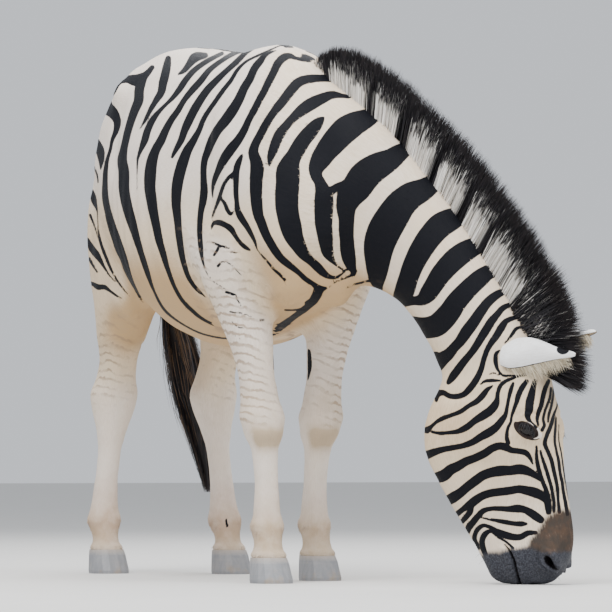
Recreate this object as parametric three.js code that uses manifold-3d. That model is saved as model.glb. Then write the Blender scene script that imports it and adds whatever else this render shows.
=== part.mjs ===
// A life-size plains zebra, grazing with its neck turned to its left, as a still museum model.
// Millimetres, +Z up, +X towards the front of the trunk, +Y to the animal's left.
import * as THREE from "three";
import { mergeVertices } from "three/addons/utils/BufferGeometryUtils.js";
import Module from "manifold-3d";

const wasm = await Module();
wasm.setup();
const { Manifold, Mesh } = wasm;

// ---------------------------------------------------------------- driving dimensions
const GAP = 0.4; // clearance between neighbouring pieces
const HOOF_TOP = 62; // height of the coronet
const EYE_RADIUS = 22;
const HEAD_YAW = 49; // degrees the face is turned to the animal's left
const HEAD_PITCH = 3; // degrees the muzzle is carried in front of the poll
const POLL = [860, 440, 590]; // top of the head, between the ears

const RIGHT = -1;
const LEFT = 1;

// Where each hoof stands, as the animal takes a slow grazing step.
const HOOVES = {
  fore_right: { side: RIGHT, x: 562, y: 100 },
  fore_left: { side: LEFT, x: 346, y: 100 },
  hind_right: { side: RIGHT, x: -565, y: 166 },
  hind_left: { side: LEFT, x: -405, y: 118 },
};

// ---------------------------------------------------------------- small helpers
const clamp01 = (t) => Math.min(1, Math.max(0, t));
const smooth = (t) => clamp01(t) ** 2 * (3 - 2 * clamp01(t));
const radians = THREE.MathUtils.degToRad;

// Smooth curves through rows of numbers; the first number of a row is the position along the form.
function through(rows) {
  const at = rows.map((row) => row[0]);
  const size = rows[0].length - 1;
  const values = rows.flatMap((row) => row.slice(1));
  const curve = new THREE.CubicInterpolant(at, values, size);
  return (t) => Array.from(curve.evaluate(t));
}

const steps = (from, to, count) =>
  Array.from({ length: count + 1 }, (_, i) => from + ((to - from) * i) / count);

// A closed skin over rings of points that all have the same number of sides.
function skinOver(rings) {
  const sides = rings[0].length;
  const middle = (ring) =>
    ring.reduce((sum, p) => sum.add(p), new THREE.Vector3()).divideScalar(sides);
  const points = [...rings.flat(), middle(rings[0]), middle(rings.at(-1))];
  const first = points.length - 2;
  const last = points.length - 1;
  const faces = [];
  for (let k = 0; k < sides; k++) {
    const next = (k + 1) % sides;
    for (let i = 0; i + 1 < rings.length; i++) {
      const [a, b] = [i * sides + k, i * sides + next];
      faces.push(a, b, b + sides, a, b + sides, a + sides);
    }
    faces.push(first, next, k);
    faces.push(last, last - 1 - sides + k, last - 1 - sides + next);
  }
  const geometry = new THREE.BufferGeometry().setFromPoints(points);
  geometry.setIndex(faces);
  return geometry;
}

// One ring of a form: an oval about centre with its own reach to each side. A reach is boxier the
// more its squareness is above 2, and grow adds a little all round.
function ring({ centre, side, up, half, rise, drop, square = 2, dropSquare = square, grow = 0 }, sides) {
  return Array.from({ length: sides }, (_, k) => {
    const angle = ((k + 0.5) / sides) * Math.PI * 2;
    const [c, s] = [Math.cos(angle), Math.sin(angle)];
    const power = 2 / (s > 0 ? square : dropSquare);
    const across = Math.sign(c) * Math.abs(c) ** power * (half + grow);
    const along = Math.sign(s) * Math.abs(s) ** power * ((s > 0 ? rise : drop) + grow);
    return centre.clone().addScaledVector(side, across).addScaledVector(up, along);
  });
}

function solid(geometry) {
  const bare = new THREE.BufferGeometry();
  bare.setAttribute("position", geometry.getAttribute("position"));
  if (geometry.index) bare.setIndex(geometry.index);
  const merged = mergeVertices(bare, 1e-3);
  const made = new Manifold(
    new Mesh({
      numProp: 3,
      vertProperties: new Float32Array(merged.attributes.position.array),
      triVerts: new Uint32Array(merged.index.array),
    }),
  );
  if (made.volume() > 0) return made;
  const turned = merged.index.array;
  for (let i = 0; i < turned.length; i += 3)
    [turned[i + 1], turned[i + 2]] = [turned[i + 2], turned[i + 1]];
  return solid(merged);
}

const join = (first, ...others) => others.reduce((all, one) => all.add(one), first);
const cut = (first, ...others) => others.reduce((all, one) => all.subtract(one), first);

// A convex block: an outline in the plane of two axes, run along the third.
function block(outline, from, to, axis) {
  const shape = new THREE.Shape(outline.map(([a, b]) => new THREE.Vector2(a, b)));
  const geometry = new THREE.ExtrudeGeometry(shape, { depth: to - from, bevelEnabled: false });
  geometry.translate(0, 0, from);
  if (axis === "x") geometry.rotateX(Math.PI / 2).rotateZ(Math.PI / 2);
  if (axis === "y") geometry.rotateX(Math.PI / 2);
  return solid(geometry);
}

// Everything on the far side of a plane, out to a size that holds the whole animal.
function beyond(point, normal, size = 1600) {
  const geometry = new THREE.BoxGeometry(size * 2, size * 2, size);
  geometry.translate(0, 0, size / 2);
  const facing = new THREE.Vector3(...normal).normalize();
  geometry.applyQuaternion(new THREE.Quaternion().setFromUnitVectors(new THREE.Vector3(0, 0, 1), facing));
  geometry.translate(...point);
  return solid(geometry);
}

// ---------------------------------------------------------------- trunk
// x, height of the back, height of the belly, half width, height of the widest point
const TRUNK = [
  [-752, 1060, 910, 34, 1000],
  [-732, 1140, 860, 92, 1005],
  [-690, 1218, 805, 142, 1010],
  [-620, 1290, 748, 188, 1015],
  [-530, 1338, 712, 222, 1015],
  [-410, 1363, 690, 244, 1000],
  [-270, 1362, 652, 264, 950],
  [-110, 1344, 606, 282, 900],
  [40, 1328, 576, 286, 870],
  [180, 1322, 582, 266, 870],
  [300, 1328, 608, 236, 890],
  [400, 1322, 636, 212, 910],
  [490, 1286, 652, 194, 925],
  [570, 1216, 674, 170, 920],
  [640, 1110, 712, 138, 905],
  [682, 1020, 770, 92, 890],
  [700, 950, 830, 40, 885],
];

function trunk(grow = 0, sides = 22) {
  const at = through(TRUNK);
  return solid(
    skinOver(
      steps(TRUNK[0][0], TRUNK.at(-1)[0], 22).map((x) => {
        const [back, belly, half, widest] = at(x);
        return ring(
          {
            centre: new THREE.Vector3(x, 0, widest),
            side: new THREE.Vector3(0, 1, 0),
            up: new THREE.Vector3(0, 0, 1),
            half,
            rise: back - widest,
            drop: widest - belly,
            square: 2.15,
            grow,
          },
          sides,
        );
      }),
    ),
  );
}

// ---------------------------------------------------------------- neck
// share of the way, centre x y z, reach to the crest, reach to the throat, half width
const NECK = [
  [0.0, 250, 0, 1040, 230, 250, 130],
  [0.18, 420, 28, 1010, 250, 290, 150],
  [0.38, 545, 96, 950, 212, 240, 132],
  [0.55, 625, 186, 876, 160, 175, 108],
  [0.72, 700, 275, 768, 132, 126, 90],
  [0.87, 768, 342, 646, 124, 130, 80],
  [1.0, 820, 392, 548, 112, 150, 76],
  [1.08, 846, 420, 490, 100, 140, 66],
];
const neckAt = through(NECK);

// The neck's own axes at a share of its length: up is towards the crest, side towards the left.
function neckFrame(t) {
  const [x, y, z, rise, drop, half] = neckAt(t);
  const [x2, y2, z2] = neckAt(t + 0.01);
  const ahead = new THREE.Vector3(x2 - x, y2 - y, z2 - z).normalize();
  const side = new THREE.Vector3(-ahead.y, ahead.x, 0).normalize();
  const up = new THREE.Vector3().crossVectors(ahead, side);
  return { centre: new THREE.Vector3(x, y, z), ahead, side, up, rise, drop, half };
}

function neck(grow = 0, sides = 22) {
  return solid(skinOver(steps(0, 1.07, 16).map((t) => ring({ ...neckFrame(t), grow }, sides))));
}

// ---------------------------------------------------------------- head
const yaw = radians(HEAD_YAW);
const pitch = radians(HEAD_PITCH);
const FACING = new THREE.Vector3(Math.cos(yaw), Math.sin(yaw), 0);
const HEAD = {
  poll: new THREE.Vector3(...POLL),
  side: new THREE.Vector3(-Math.sin(yaw), Math.cos(yaw), 0),
  down: FACING.clone().multiplyScalar(Math.sin(pitch)).add(new THREE.Vector3(0, 0, -Math.cos(pitch))),
};
HEAD.front = new THREE.Vector3().crossVectors(HEAD.down, HEAD.side).negate();
if (HEAD.front.dot(FACING) < 0) HEAD.front.negate();

// A point on the head: how far down from the poll, how far in front of the axis, how far to the left.
const onHead = (down, front, left) =>
  HEAD.poll
    .clone()
    .addScaledVector(HEAD.down, down)
    .addScaledVector(HEAD.front, front)
    .addScaledVector(HEAD.side, left);

// down from the poll, face line, jaw line, half width, how far in front of the axis it is widest,
// squareness of the face and of the jaw
const SKULL = [
  [-24, 4, -60, 30, -30, 2, 2],
  [0, 30, -120, 58, -24, 2, 2],
  [50, 50, -184, 80, 0, 2.3, 2],
  [110, 60, -222, 92, 12, 2.5, 2.1],
  [170, 71, -254, 99, 24, 2.6, 2.2],
  [215, 77, -264, 100, 28, 2.5, 2.3],
  [270, 84, -260, 90, 20, 2.2, 2.4],
  [330, 90, -234, 72, 0, 2, 2.5],
  [390, 98, -204, 60, -14, 2, 2.5],
  [440, 104, -176, 54, -6, 2.1, 2.4],
  [485, 106, -152, 55, 6, 2.3, 2.3],
  [525, 96, -130, 55, 6, 2.4, 2.3],
  [560, 78, -110, 48, -4, 2.3, 2.3],
  [580, 60, -92, 38, -10, 2.3, 2.3],
  [598, 34, -66, 22, -14, 2.2, 2.2],
];

function skull(grow = 0, sides = 20) {
  const at = through(SKULL);
  return solid(
    skinOver(
      steps(SKULL[0][0], SKULL.at(-1)[0], 22).map((down) => {
        const [face, jaw, half, widest, square, dropSquare] = at(down);
        return ring(
          {
            centre: onHead(down, widest, 0),
            side: HEAD.side,
            up: HEAD.front,
            half,
            rise: face - widest,
            drop: widest - jaw,
            square,
            dropSquare,
            grow,
          },
          sides,
        );
      }),
    ),
  );
}

const EYE = [220, 34, 84]; // down, in front, to the side
const atEye = (side) => onHead(EYE[0], EYE[1], EYE[2] * side);

// A rounded mass: an ellipsoid with its own reach along the trunk's or the head's axes.
function mass(centre, reach, axes = [1, 0, 0, 0, 1, 0, 0, 0, 1], detail = 6) {
  const geometry = new THREE.SphereGeometry(1, detail * 2, detail);
  geometry.scale(...reach);
  const [a, b, c, d, e, f, g, h, i] = axes;
  geometry.applyMatrix4(new THREE.Matrix4().set(a, d, g, 0, b, e, h, 0, c, f, i, 0, 0, 0, 0, 1));
  geometry.translate(centre.x, centre.y, centre.z);
  return solid(geometry);
}

// Reaches on the head are down, in front and to the side.
const HEAD_AXES = [...HEAD.down.toArray(), ...HEAD.front.toArray(), ...HEAD.side.toArray()];

// The masses that break the smooth line of the head, each on both sides.
const FACE = {
  brow: { at: [190, 38, 67], reach: [54, 30, 34] },
  cheek: { at: [188, -104, 48], reach: [118, 104, 38] },
  nostril: { at: [528, 58, 38], reach: [40, 28, 26] },
  chin: { at: [544, -86, 14], reach: [38, 28, 28] },
};
const faceMasses = [LEFT, RIGHT].flatMap((side) =>
  Object.values(FACE).map(({ at: [down, front, left], reach }) =>
    mass(onHead(down, front, left * side), reach, HEAD_AXES, 5),
  ),
);

// An ear: a leaf-shaped cup with its mouth turned down and forwards.
const EAR_LENGTH = 180;
const EAR_WALL = 6;
const EARS = {
  right: { side: RIGHT, root: [40, -14, 62], drop: 0, spread: 2, roll: 0.6 },
  left: { side: LEFT, root: [34, 6, 60], drop: -58, spread: 0, roll: -0.2 },
};
// share of the length, half width, depth of the cup
const EAR = [
  [0, 36, 24],
  [0.12, 48, 34],
  [0.3, 45, 41],
  [0.45, 35, 41],
  [0.6, 26, 31],
  [0.74, 18, 19],
  [0.88, 12, 11],
  [1, 5, 6],
];

// The arcs across an ear from its root to its tip; a reach is changed by grow.
function earArcs({ side, root, drop, spread, roll }, grow, sweep) {
  const base = onHead(root[0], root[1], root[2] * side);
  const ahead = HEAD.front
    .clone()
    .multiplyScalar(EAR_LENGTH)
    .addScaledVector(HEAD.down, drop)
    .addScaledVector(HEAD.side, spread * side)
    .normalize();
  const turn = new THREE.Quaternion().setFromAxisAngle(ahead, roll);
  const level = new THREE.Vector3().crossVectors(HEAD.down, ahead).normalize().applyQuaternion(turn);
  const back = new THREE.Vector3().crossVectors(ahead, level).normalize();
  if (back.dot(HEAD.down) > 0) back.negate();
  const at = through(EAR);
  return steps(0, 1, 9).map((t) => {
    const centre = base.clone().addScaledVector(ahead, t * EAR_LENGTH);
    const [half, deep] = at(t).map((reach) => grow(reach, t));
    return steps(-1, 1, 6).map((a) =>
      centre
        .clone()
        .addScaledVector(level, Math.sin(a * sweep) * half)
        .addScaledVector(back, Math.cos(a * sweep) * deep),
    );
  });
}

function ear(set) {
  const outside = earArcs(set, (reach) => reach, 1.75);
  const hollow = (t) => 0.15 + 0.85 * smooth((t - 0.02) / 0.14);
  const inside = earArcs(set, (reach, t) => Math.max(reach - EAR_WALL, reach * 0.35) * hollow(t), 1.7);
  const cupped = solid(skinOver(outside.map((arc, i) => [...arc, ...inside[i].reverse()])));
  return cut(cupped, skull(GAP), neck(GAP), ...faceMasses);
}

const earRoom = (set) => solid(skinOver(earArcs(set, (reach) => reach + GAP, 1.75)));

// ---------------------------------------------------------------- mane
// share of the neck, height of the hair, half thickness at the root
const MANE = [
  [0.2, 40, 12],
  [0.28, 84, 15],
  [0.42, 120, 18],
  [0.6, 134, 20],
  [0.8, 140, 22],
  [0.95, 136, 23],
  [1.07, 128, 22],
];
const MANE_PROFILE = [
  [-1, 0],
  [-0.85, 0.6],
  [-0.35, 1],
  [0.35, 1],
  [0.85, 0.6],
  [1, 0],
];
const MANE_ROOT = 26; // how far the mane's block runs into the neck before it is trimmed

function hairWall(count, place) {
  return skinOver(
    steps(0, 1, count).map((t) => {
      const { root, side, up, height, thick } = place(t);
      return MANE_PROFILE.map(([across, high]) =>
        root.clone().addScaledVector(side, across * thick).addScaledVector(up, high * height),
      );
    }),
  );
}

function mane() {
  const at = through(MANE);
  const [from, to] = [MANE[0][0], MANE.at(-1)[0]];
  const wall = hairWall(14, (share) => {
    const t = from + (to - from) * share;
    const { centre, side, up, rise } = neckFrame(t);
    const [height, thick] = at(t);
    const root = centre.clone().addScaledVector(up, rise - MANE_ROOT);
    return { root, side, up, height: height + MANE_ROOT, thick };
  });
  return cut(solid(wall), neck(GAP), skull(GAP), trunk(GAP), pollSpace(-GAP / 2));
}

// Where the mane ends and the forelock begins.
function pollSpace(gap) {
  const { centre, ahead, up, rise } = neckFrame(1);
  return beyond(centre.clone().addScaledVector(up, rise).addScaledVector(ahead, gap), ahead);
}

// The forelock stands up between the ears and falls a little way down the forehead.
function forelock() {
  const wall = hairWall(8, (t) => {
    const root = onHead(-50 + 118 * t, -40 + 66 * smooth(t), 0);
    const up = HEAD.front.clone().addScaledVector(HEAD.down, -0.95 + 1.4 * t).normalize();
    return { root, side: HEAD.side, up, height: 194 - 52 * t, thick: 27 - 9 * t };
  });
  const bare = cut(solid(wall), neck(GAP), skull(GAP), ...Object.values(EARS).map(earRoom));
  return bare.intersect(pollSpace(GAP / 2));
}

// ---------------------------------------------------------------- legs
// height, centre x, centre y, half width, reach to the front, reach to the back
const FORE_LEG = [
  [HOOF_TOP, 460, 100, 44, 46, 42],
  [84, 456, 99, 38, 40, 38],
  [106, 452, 98, 35, 36, 40],
  [136, 446, 96, 43, 40, 52],
  [172, 444, 95, 35, 32, 44],
  [240, 443, 94, 30, 29, 37],
  [310, 443, 95, 33, 33, 39],
  [350, 443, 97, 47, 44, 48],
  [392, 442, 99, 55, 53, 52],
  [436, 439, 101, 51, 48, 50],
  [500, 433, 105, 45, 46, 52],
  [570, 425, 111, 53, 56, 62],
  [640, 414, 122, 66, 70, 78],
  [710, 404, 134, 76, 94, 96],
  [790, 404, 138, 80, 130, 118],
  [880, 410, 132, 78, 150, 120],
  [980, 410, 116, 66, 130, 110],
  [1060, 400, 100, 50, 90, 80],
];
const HIND_LEG = [
  [HOOF_TOP, -510, 140, 41, 44, 42],
  [84, -518, 140, 35, 36, 38],
  [104, -528, 140, 36, 36, 42],
  [138, -540, 139, 46, 42, 54],
  [182, -546, 137, 36, 34, 45],
  [250, -551, 133, 31, 31, 39],
  [322, -556, 127, 31, 33, 40],
  [376, -562, 123, 42, 44, 50],
  [424, -568, 120, 57, 56, 66],
  [466, -568, 120, 60, 62, 84],
  [508, -558, 121, 53, 68, 82],
  [560, -534, 125, 53, 78, 76],
  [620, -502, 132, 64, 98, 90],
  [690, -462, 138, 76, 140, 122],
  [770, -436, 142, 88, 182, 178],
  [860, -440, 140, 94, 206, 226],
  [960, -460, 134, 94, 192, 236],
  [1060, -470, 120, 84, 152, 196],
  [1150, -470, 100, 62, 100, 130],
];

// A leg keeps its top in the trunk and swings at the top until its hoof stands where it should.
function leg(rows, { side, x: hoofX, y: hoofY }, sides = 11) {
  const at = through(rows);
  const [, restX, restY] = rows[0];
  const top = rows.at(-1)[0];
  const swing = (z) => 1 - smooth(z / (top - 90));
  return solid(
    skinOver(
      rows.map(([z]) => {
        const [x, y, half, front, back] = at(z);
        const away = side * (y + (hoofY - restY) * swing(z));
        return ring(
          {
            centre: new THREE.Vector3(x + (hoofX - CORONET_BACK - restX) * swing(z), away, z),
            side: new THREE.Vector3(0, 1, 0),
            up: new THREE.Vector3(1, 0, 0),
            half,
            rise: front,
            drop: back,
            square: 2.2,
          },
          sides,
        );
      }),
    ),
  );
}

// height, how far the ring is behind the middle of the sole, half width, front, back
const CORONET_BACK = 14;
const HOOF = [
  [0, -6, 51, 60, 46],
  [8, -5, 52, 60, 46],
  [HOOF_TOP - 14, 8, 47, 53, 45],
  [HOOF_TOP - GAP, CORONET_BACK, 44, 46, 42],
];

function hoof({ side, x, y }) {
  const rings = HOOF.map(([z, behind, half, rise, drop]) => {
    const centre = new THREE.Vector3(x - behind, side * y, z);
    const axes = { side: new THREE.Vector3(0, 1, 0), up: new THREE.Vector3(1, 0, 0) };
    return ring({ centre, ...axes, half, rise, drop, square: 2.3 }, 16);
  });
  return solid(skinOver(rings));
}

// The masses that break the smooth line of the trunk, each on both sides.
const MUSCLES = {
  shoulder: { at: [396, 140, 985], reach: [112, 72, 230] },
  point: { at: [596, 98, 872], reach: [72, 62, 100] },
  breast: { at: [572, 52, 752], reach: [84, 54, 90] },
  hip: { at: [-356, 140, 1212], reach: [128, 72, 74] },
  stifle: { at: [-352, 172, 780], reach: [96, 56, 140] },
  buttock: { at: [-640, 88, 980], reach: [104, 80, 200] },
};
const muscles = [LEFT, RIGHT].flatMap((side) =>
  Object.values(MUSCLES).map(({ at: [x, y, z], reach }) =>
    mass(new THREE.Vector3(x, y * side, z), reach, undefined, 5),
  ),
);

// ---------------------------------------------------------------- tail
// share of the way, centre x y z, half thickness across, half thickness along
const TAIL = [
  [0.0, -688, 0, 1190, 36, 30],
  [0.08, -736, 4, 1150, 34, 30],
  [0.2, -768, 16, 1040, 28, 27],
  [0.35, -782, 40, 880, 22, 22],
  [0.5, -780, 72, 720, 26, 25],
  [0.62, -774, 98, 600, 44, 36],
  [0.75, -766, 124, 470, 44, 34],
  [0.88, -758, 150, 330, 26, 22],
  [1.0, -750, 172, 190, 6, 6],
];
const TUFT_FROM = 0.48;

function tail(from, to, count) {
  const at = through(TAIL);
  const rings = steps(from, to, count).map((t) => {
    const [x, y, z, half, deep] = at(t);
    const [x2, y2, z2] = at(t + 0.01);
    const ahead = new THREE.Vector3(x2 - x, y2 - y, z2 - z).normalize();
    const side = new THREE.Vector3(0, 1, 0).addScaledVector(ahead, -ahead.y).normalize();
    const up = new THREE.Vector3().crossVectors(ahead, side);
    return ring({ centre: new THREE.Vector3(x, y, z), side, up, half, rise: deep, drop: deep }, 10);
  });
  return solid(skinOver(rings));
}

// ---------------------------------------------------------------- where the flesh is parted
// Beyond the throat and clear of the forelegs.
const THROAT = neckFrame(0.9);
const headSpace = (gap) =>
  beyond(THROAT.centre.clone().addScaledVector(THROAT.ahead, gap), THROAT.ahead).intersect(
    beyond(FACING.clone().multiplyScalar(430 + gap), FACING),
  );
// In front of a slanting plane from the withers down to the breast.
const NECK_BASE = {
  at: new THREE.Vector3(548, 40, 1010),
  facing: new THREE.Vector3(0.87, 0.24, 0.42).normalize(),
};
const neckSpace = (gap) =>
  beyond(NECK_BASE.at.clone().addScaledVector(NECK_BASE.facing, gap), NECK_BASE.facing);

// A leg is parted from the trunk by a slope that rises outwards and by its own outline from the side.
function legSpace(side, [inner, top, outline], gap) {
  const middle = (outline[0][0] + outline[1][0]) / 2;
  const around = outline.map(([x, z]) => [x - Math.sign(x - middle) * gap, z]);
  const slope = [
    [gap, -10],
    [gap, inner - gap],
    [top.out, top.z - gap],
    [700, top.z - gap],
    [700, -10],
  ].map(([y, z]) => [y * side, z]);
  return block(slope, -1000, 1000, "x").intersect(block(around, -800, 800, "y"));
}
const FORE_OUTLINE = [
  [120, -10],
  [800, -10],
  [800, 500],
  [640, 690],
  [590, 930],
  [300, 930],
  [262, 690],
  [120, 500],
];
const HIND_OUTLINE = [
  [-900, -10],
  [-120, -10],
  [-150, 560],
  [-224, 730],
  [-290, 1030],
  [-730, 1030],
  [-800, 800],
  [-900, 600],
];
const FORE_SPACE = [600, { out: 262, z: 920 }, FORE_OUTLINE];
const HIND_SPACE = [690, { out: 300, z: 1010 }, HIND_OUTLINE];

// ---------------------------------------------------------------- the pieces
function pieces() {
  const legs = {
    fore_right: leg(FORE_LEG, HOOVES.fore_right),
    fore_left: leg(FORE_LEG, HOOVES.fore_left),
    hind_right: leg(HIND_LEG, HOOVES.hind_right),
    hind_left: leg(HIND_LEG, HOOVES.hind_left),
  };
  const flesh = join(trunk(), ...muscles, neck(), skull(), ...faceMasses, ...Object.values(legs));
  const above = cut(flesh, beyond([0, 0, 0], [0, 0, -1]));
  const parts = { head: above.intersect(headSpace(GAP / 2)) };
  let rest = cut(above, headSpace(-GAP / 2));
  parts.neck = rest.intersect(neckSpace(GAP / 2));
  rest = cut(rest, neckSpace(-GAP / 2));
  for (const [name, { side }] of Object.entries(HOOVES)) {
    const space = name.startsWith("fore") ? FORE_SPACE : HIND_SPACE;
    parts["leg_" + name] = rest.intersect(legSpace(side, space, GAP / 2));
  }
  for (const [name, { side }] of Object.entries(HOOVES)) {
    const space = name.startsWith("fore") ? FORE_SPACE : HIND_SPACE;
    rest = cut(rest, legSpace(side, space, -GAP / 2));
  }
  parts.trunk = rest;
  parts.tail_dock = cut(tail(0, TUFT_FROM, 8), trunk(GAP), ...muscles);
  for (const [name, set] of Object.entries(EARS)) {
    parts.head = cut(parts.head, mass(atEye(set.side), Array(3).fill(EYE_RADIUS + GAP)));
    parts["ear_" + name] = ear(set);
  }
  return parts;
}

const coat = new THREE.MeshStandardMaterial({ color: 0xcbb8a4, roughness: 0.85, metalness: 0 });
const hair = new THREE.MeshStandardMaterial({ color: 0x1c1a1c, roughness: 0.9, metalness: 0 });
const horn = new THREE.MeshStandardMaterial({ color: 0x77736f, roughness: 0.55, metalness: 0 });
const glassy = new THREE.MeshStandardMaterial({ color: 0x140d0a, roughness: 0.12, metalness: 0 });

const group = new THREE.Group();
function show(name, made, material) {
  const { vertProperties, triVerts } = made.getMesh();
  const geometry = new THREE.BufferGeometry();
  geometry.setAttribute("position", new THREE.BufferAttribute(vertProperties, 3));
  geometry.setIndex(new THREE.BufferAttribute(triVerts, 1));
  const mesh = new THREE.Mesh(geometry, material.clone());
  mesh.name = name;
  group.add(mesh);
}

for (const [name, made] of Object.entries(pieces())) show(name, made, coat);
for (const [name, place] of Object.entries(HOOVES)) show("hoof_" + name, hoof(place), horn);
for (const [name, { side }] of Object.entries(EARS))
  show("eye_" + name, mass(atEye(side), Array(3).fill(EYE_RADIUS)), glassy);
show("mane", mane(), hair);
show("forelock", forelock(), hair);
show("tail_tuft", tail(TUFT_FROM + 0.001, 1, 10), hair);

// The origin is on the floor, below the middle of the whole.
const extent = new THREE.Box3().setFromObject(group);
const middle = extent.getCenter(new THREE.Vector3());
for (const mesh of group.children) mesh.geometry.translate(-middle.x, -middle.y, -extent.min.z);

export default group;
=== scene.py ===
import math

import bpy
import numpy as np
import openvdb as vdb
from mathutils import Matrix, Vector, kdtree


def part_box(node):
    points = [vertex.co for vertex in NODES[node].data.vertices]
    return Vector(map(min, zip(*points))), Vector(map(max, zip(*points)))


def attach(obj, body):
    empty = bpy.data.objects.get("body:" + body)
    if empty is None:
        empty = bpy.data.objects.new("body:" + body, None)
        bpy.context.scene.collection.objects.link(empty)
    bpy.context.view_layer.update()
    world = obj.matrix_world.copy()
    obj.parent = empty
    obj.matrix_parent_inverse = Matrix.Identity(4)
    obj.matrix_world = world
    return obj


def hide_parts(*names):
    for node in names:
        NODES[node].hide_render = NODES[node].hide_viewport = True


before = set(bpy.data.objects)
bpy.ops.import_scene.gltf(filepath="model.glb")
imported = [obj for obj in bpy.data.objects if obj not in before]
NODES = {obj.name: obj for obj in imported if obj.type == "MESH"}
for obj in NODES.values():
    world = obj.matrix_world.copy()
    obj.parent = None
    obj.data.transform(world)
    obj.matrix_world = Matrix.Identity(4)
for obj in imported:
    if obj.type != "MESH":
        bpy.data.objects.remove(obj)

bl_info = {
    "name": "Grazing zebra",
    "version": (1, 0, 0),
    "blender": (4, 5, 0),
    "location": "View3D > Sidebar > Zebra",
    "description": "Builds the skin, coat and hair of a life-size grazing zebra",
    "category": "Object",
}

LEGS = ["leg_fore_right", "leg_fore_left", "leg_hind_right", "leg_hind_left"]
FLESH = ["trunk", "neck", "head", *LEGS, "tail_dock"]
HOOVES = [name.replace("leg", "hoof") for name in LEGS]
SEED = 20


# ---------------------------------------------------------------- the animal's own axes, in metres
def vec(*numbers):
    return np.array(numbers, float)


def unit(v):
    return v / np.maximum(np.linalg.norm(v, axis=-1, keepdims=True), 1e-9)


def ramp(x, low, high):
    t = np.clip((x - low) / (high - low), 0, 1)
    return t * t * (3 - 2 * t)


def bump(x, middle, width):
    return np.exp(-(((x - middle) / width) ** 2))


YAW, PITCH = math.radians(49), math.radians(3)
FACING = vec(math.cos(YAW), math.sin(YAW), 0)
POLL = vec(0.860, 0.440, 0.590)
DOWN = FACING * math.sin(PITCH) - vec(0, 0, math.cos(PITCH))
SIDE = vec(-math.sin(YAW), math.cos(YAW), 0)
FRONT = -np.cross(DOWN, SIDE)
FRONT = FRONT * np.sign(FRONT @ FACING)
EYE = vec(0.220, 0.034, 0.084)
EYE_RADIUS = 0.022


def on_head(down, front, left):
    down, front, left = (np.asarray(value, float)[..., None] for value in (down, front, left))
    return POLL + down * DOWN + front * FRONT + left * SIDE


def head_place(points):
    """How far down from the poll, in front of the head's axis and to the left each point lies."""
    off = points - POLL
    return off @ DOWN, off @ FRONT, off @ SIDE


# The origin of the tables below is on the floor under the middle of the trunk.
low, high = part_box("eye_right")
SHIFT = np.array((low + high) / 2) - on_head(EYE[0], EYE[1], -EYE[2])
SHIFT[2] = 0


def through(rows, t):
    """A smooth curve through rows of numbers; a row's first number is its place along the form."""
    rows = np.array(rows, float)
    at, values = rows[:, 0], rows[:, 1:]
    slope = np.gradient(values, at, axis=0)
    t = np.atleast_1d(t)
    i = np.clip(np.searchsorted(at, t) - 1, 0, len(at) - 2)
    gap = (at[i + 1] - at[i])[:, None]
    s = (t - at[i])[:, None] / gap
    a, b = values[i], values[i + 1]
    p, q = slope[i] * gap, slope[i + 1] * gap
    return a + s * p + s * s * (3 * (b - a) - 2 * p - q) + s**3 * (2 * (a - b) + p + q)


# share of the way, centre x y z, reach to the crest, reach to the throat, half width
NECK = [
    (0.0, 0.250, 0, 1.040, 0.230, 0.250, 0.130),
    (0.18, 0.420, 0.028, 1.010, 0.250, 0.290, 0.150),
    (0.38, 0.545, 0.096, 0.950, 0.212, 0.240, 0.132),
    (0.55, 0.625, 0.186, 0.876, 0.160, 0.175, 0.108),
    (0.72, 0.700, 0.275, 0.768, 0.132, 0.126, 0.090),
    (0.87, 0.768, 0.342, 0.646, 0.124, 0.130, 0.080),
    (1.0, 0.820, 0.392, 0.548, 0.112, 0.150, 0.076),
    (1.08, 0.846, 0.420, 0.490, 0.100, 0.140, 0.066),
]


def neck_axes(t):
    """The neck's centre, the way ahead, its left, the way to the crest and its reaches."""
    here, there = through(NECK, t), through(NECK, np.atleast_1d(t) + 0.01)
    ahead = unit(there[:, :3] - here[:, :3])
    side = unit(np.stack([-ahead[:, 1], ahead[:, 0], 0 * ahead[:, 0]], 1))
    return here[:, :3], ahead, side, np.cross(ahead, side), here[:, 3:]


def along_neck(points):
    """The share of the neck's length that each point is level with."""
    shares = np.linspace(0, 1.08, 55)
    centres = through(NECK, shares)[:, :3]
    along = np.gradient(centres, shares, axis=0)
    nearest = np.argmin(((points[:, None] - centres[None]) ** 2).sum(2), 1)
    past = ((points - centres[nearest]) * along[nearest]).sum(1) / (along[nearest] ** 2).sum(1)
    return np.clip(shares[nearest] + np.clip(past, -0.02, 0.02), 0, 1.08)


# ---------------------------------------------------------------- the picture's geometry
LOOK = math.radians(19)
ACROSS = vec(math.sin(LOOK), math.cos(LOOK), 0)
TOWARDS = vec(math.cos(LOOK), -math.sin(LOOK), 0)
EYE_LEVEL = 0.35
CAMERA_BACK = 14.0
NEAR = vec(0.175, 0.56)
CAMERA = ACROSS * NEAR[0] + TOWARDS * (NEAR[1] + CAMERA_BACK) + vec(0, 0, EYE_LEVEL)
PICTURE = 612
PIXELS_PER_METRE = 412
FOCUS = PIXELS_PER_METRE * CAMERA_BACK
FLOOR_ROW = 583
HORIZON = FLOOR_ROW - PIXELS_PER_METRE * EYE_LEVEL
SENSOR = 36


def in_picture(points):
    """Where points of the animal fall in the picture: pixels across and down."""
    away = NEAR[1] + CAMERA_BACK - points @ TOWARDS
    across = PICTURE / 2 + FOCUS * (points @ ACROSS - NEAR[0]) / away
    return across, HORIZON + FOCUS * (EYE_LEVEL - points[:, 2]) / away


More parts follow.
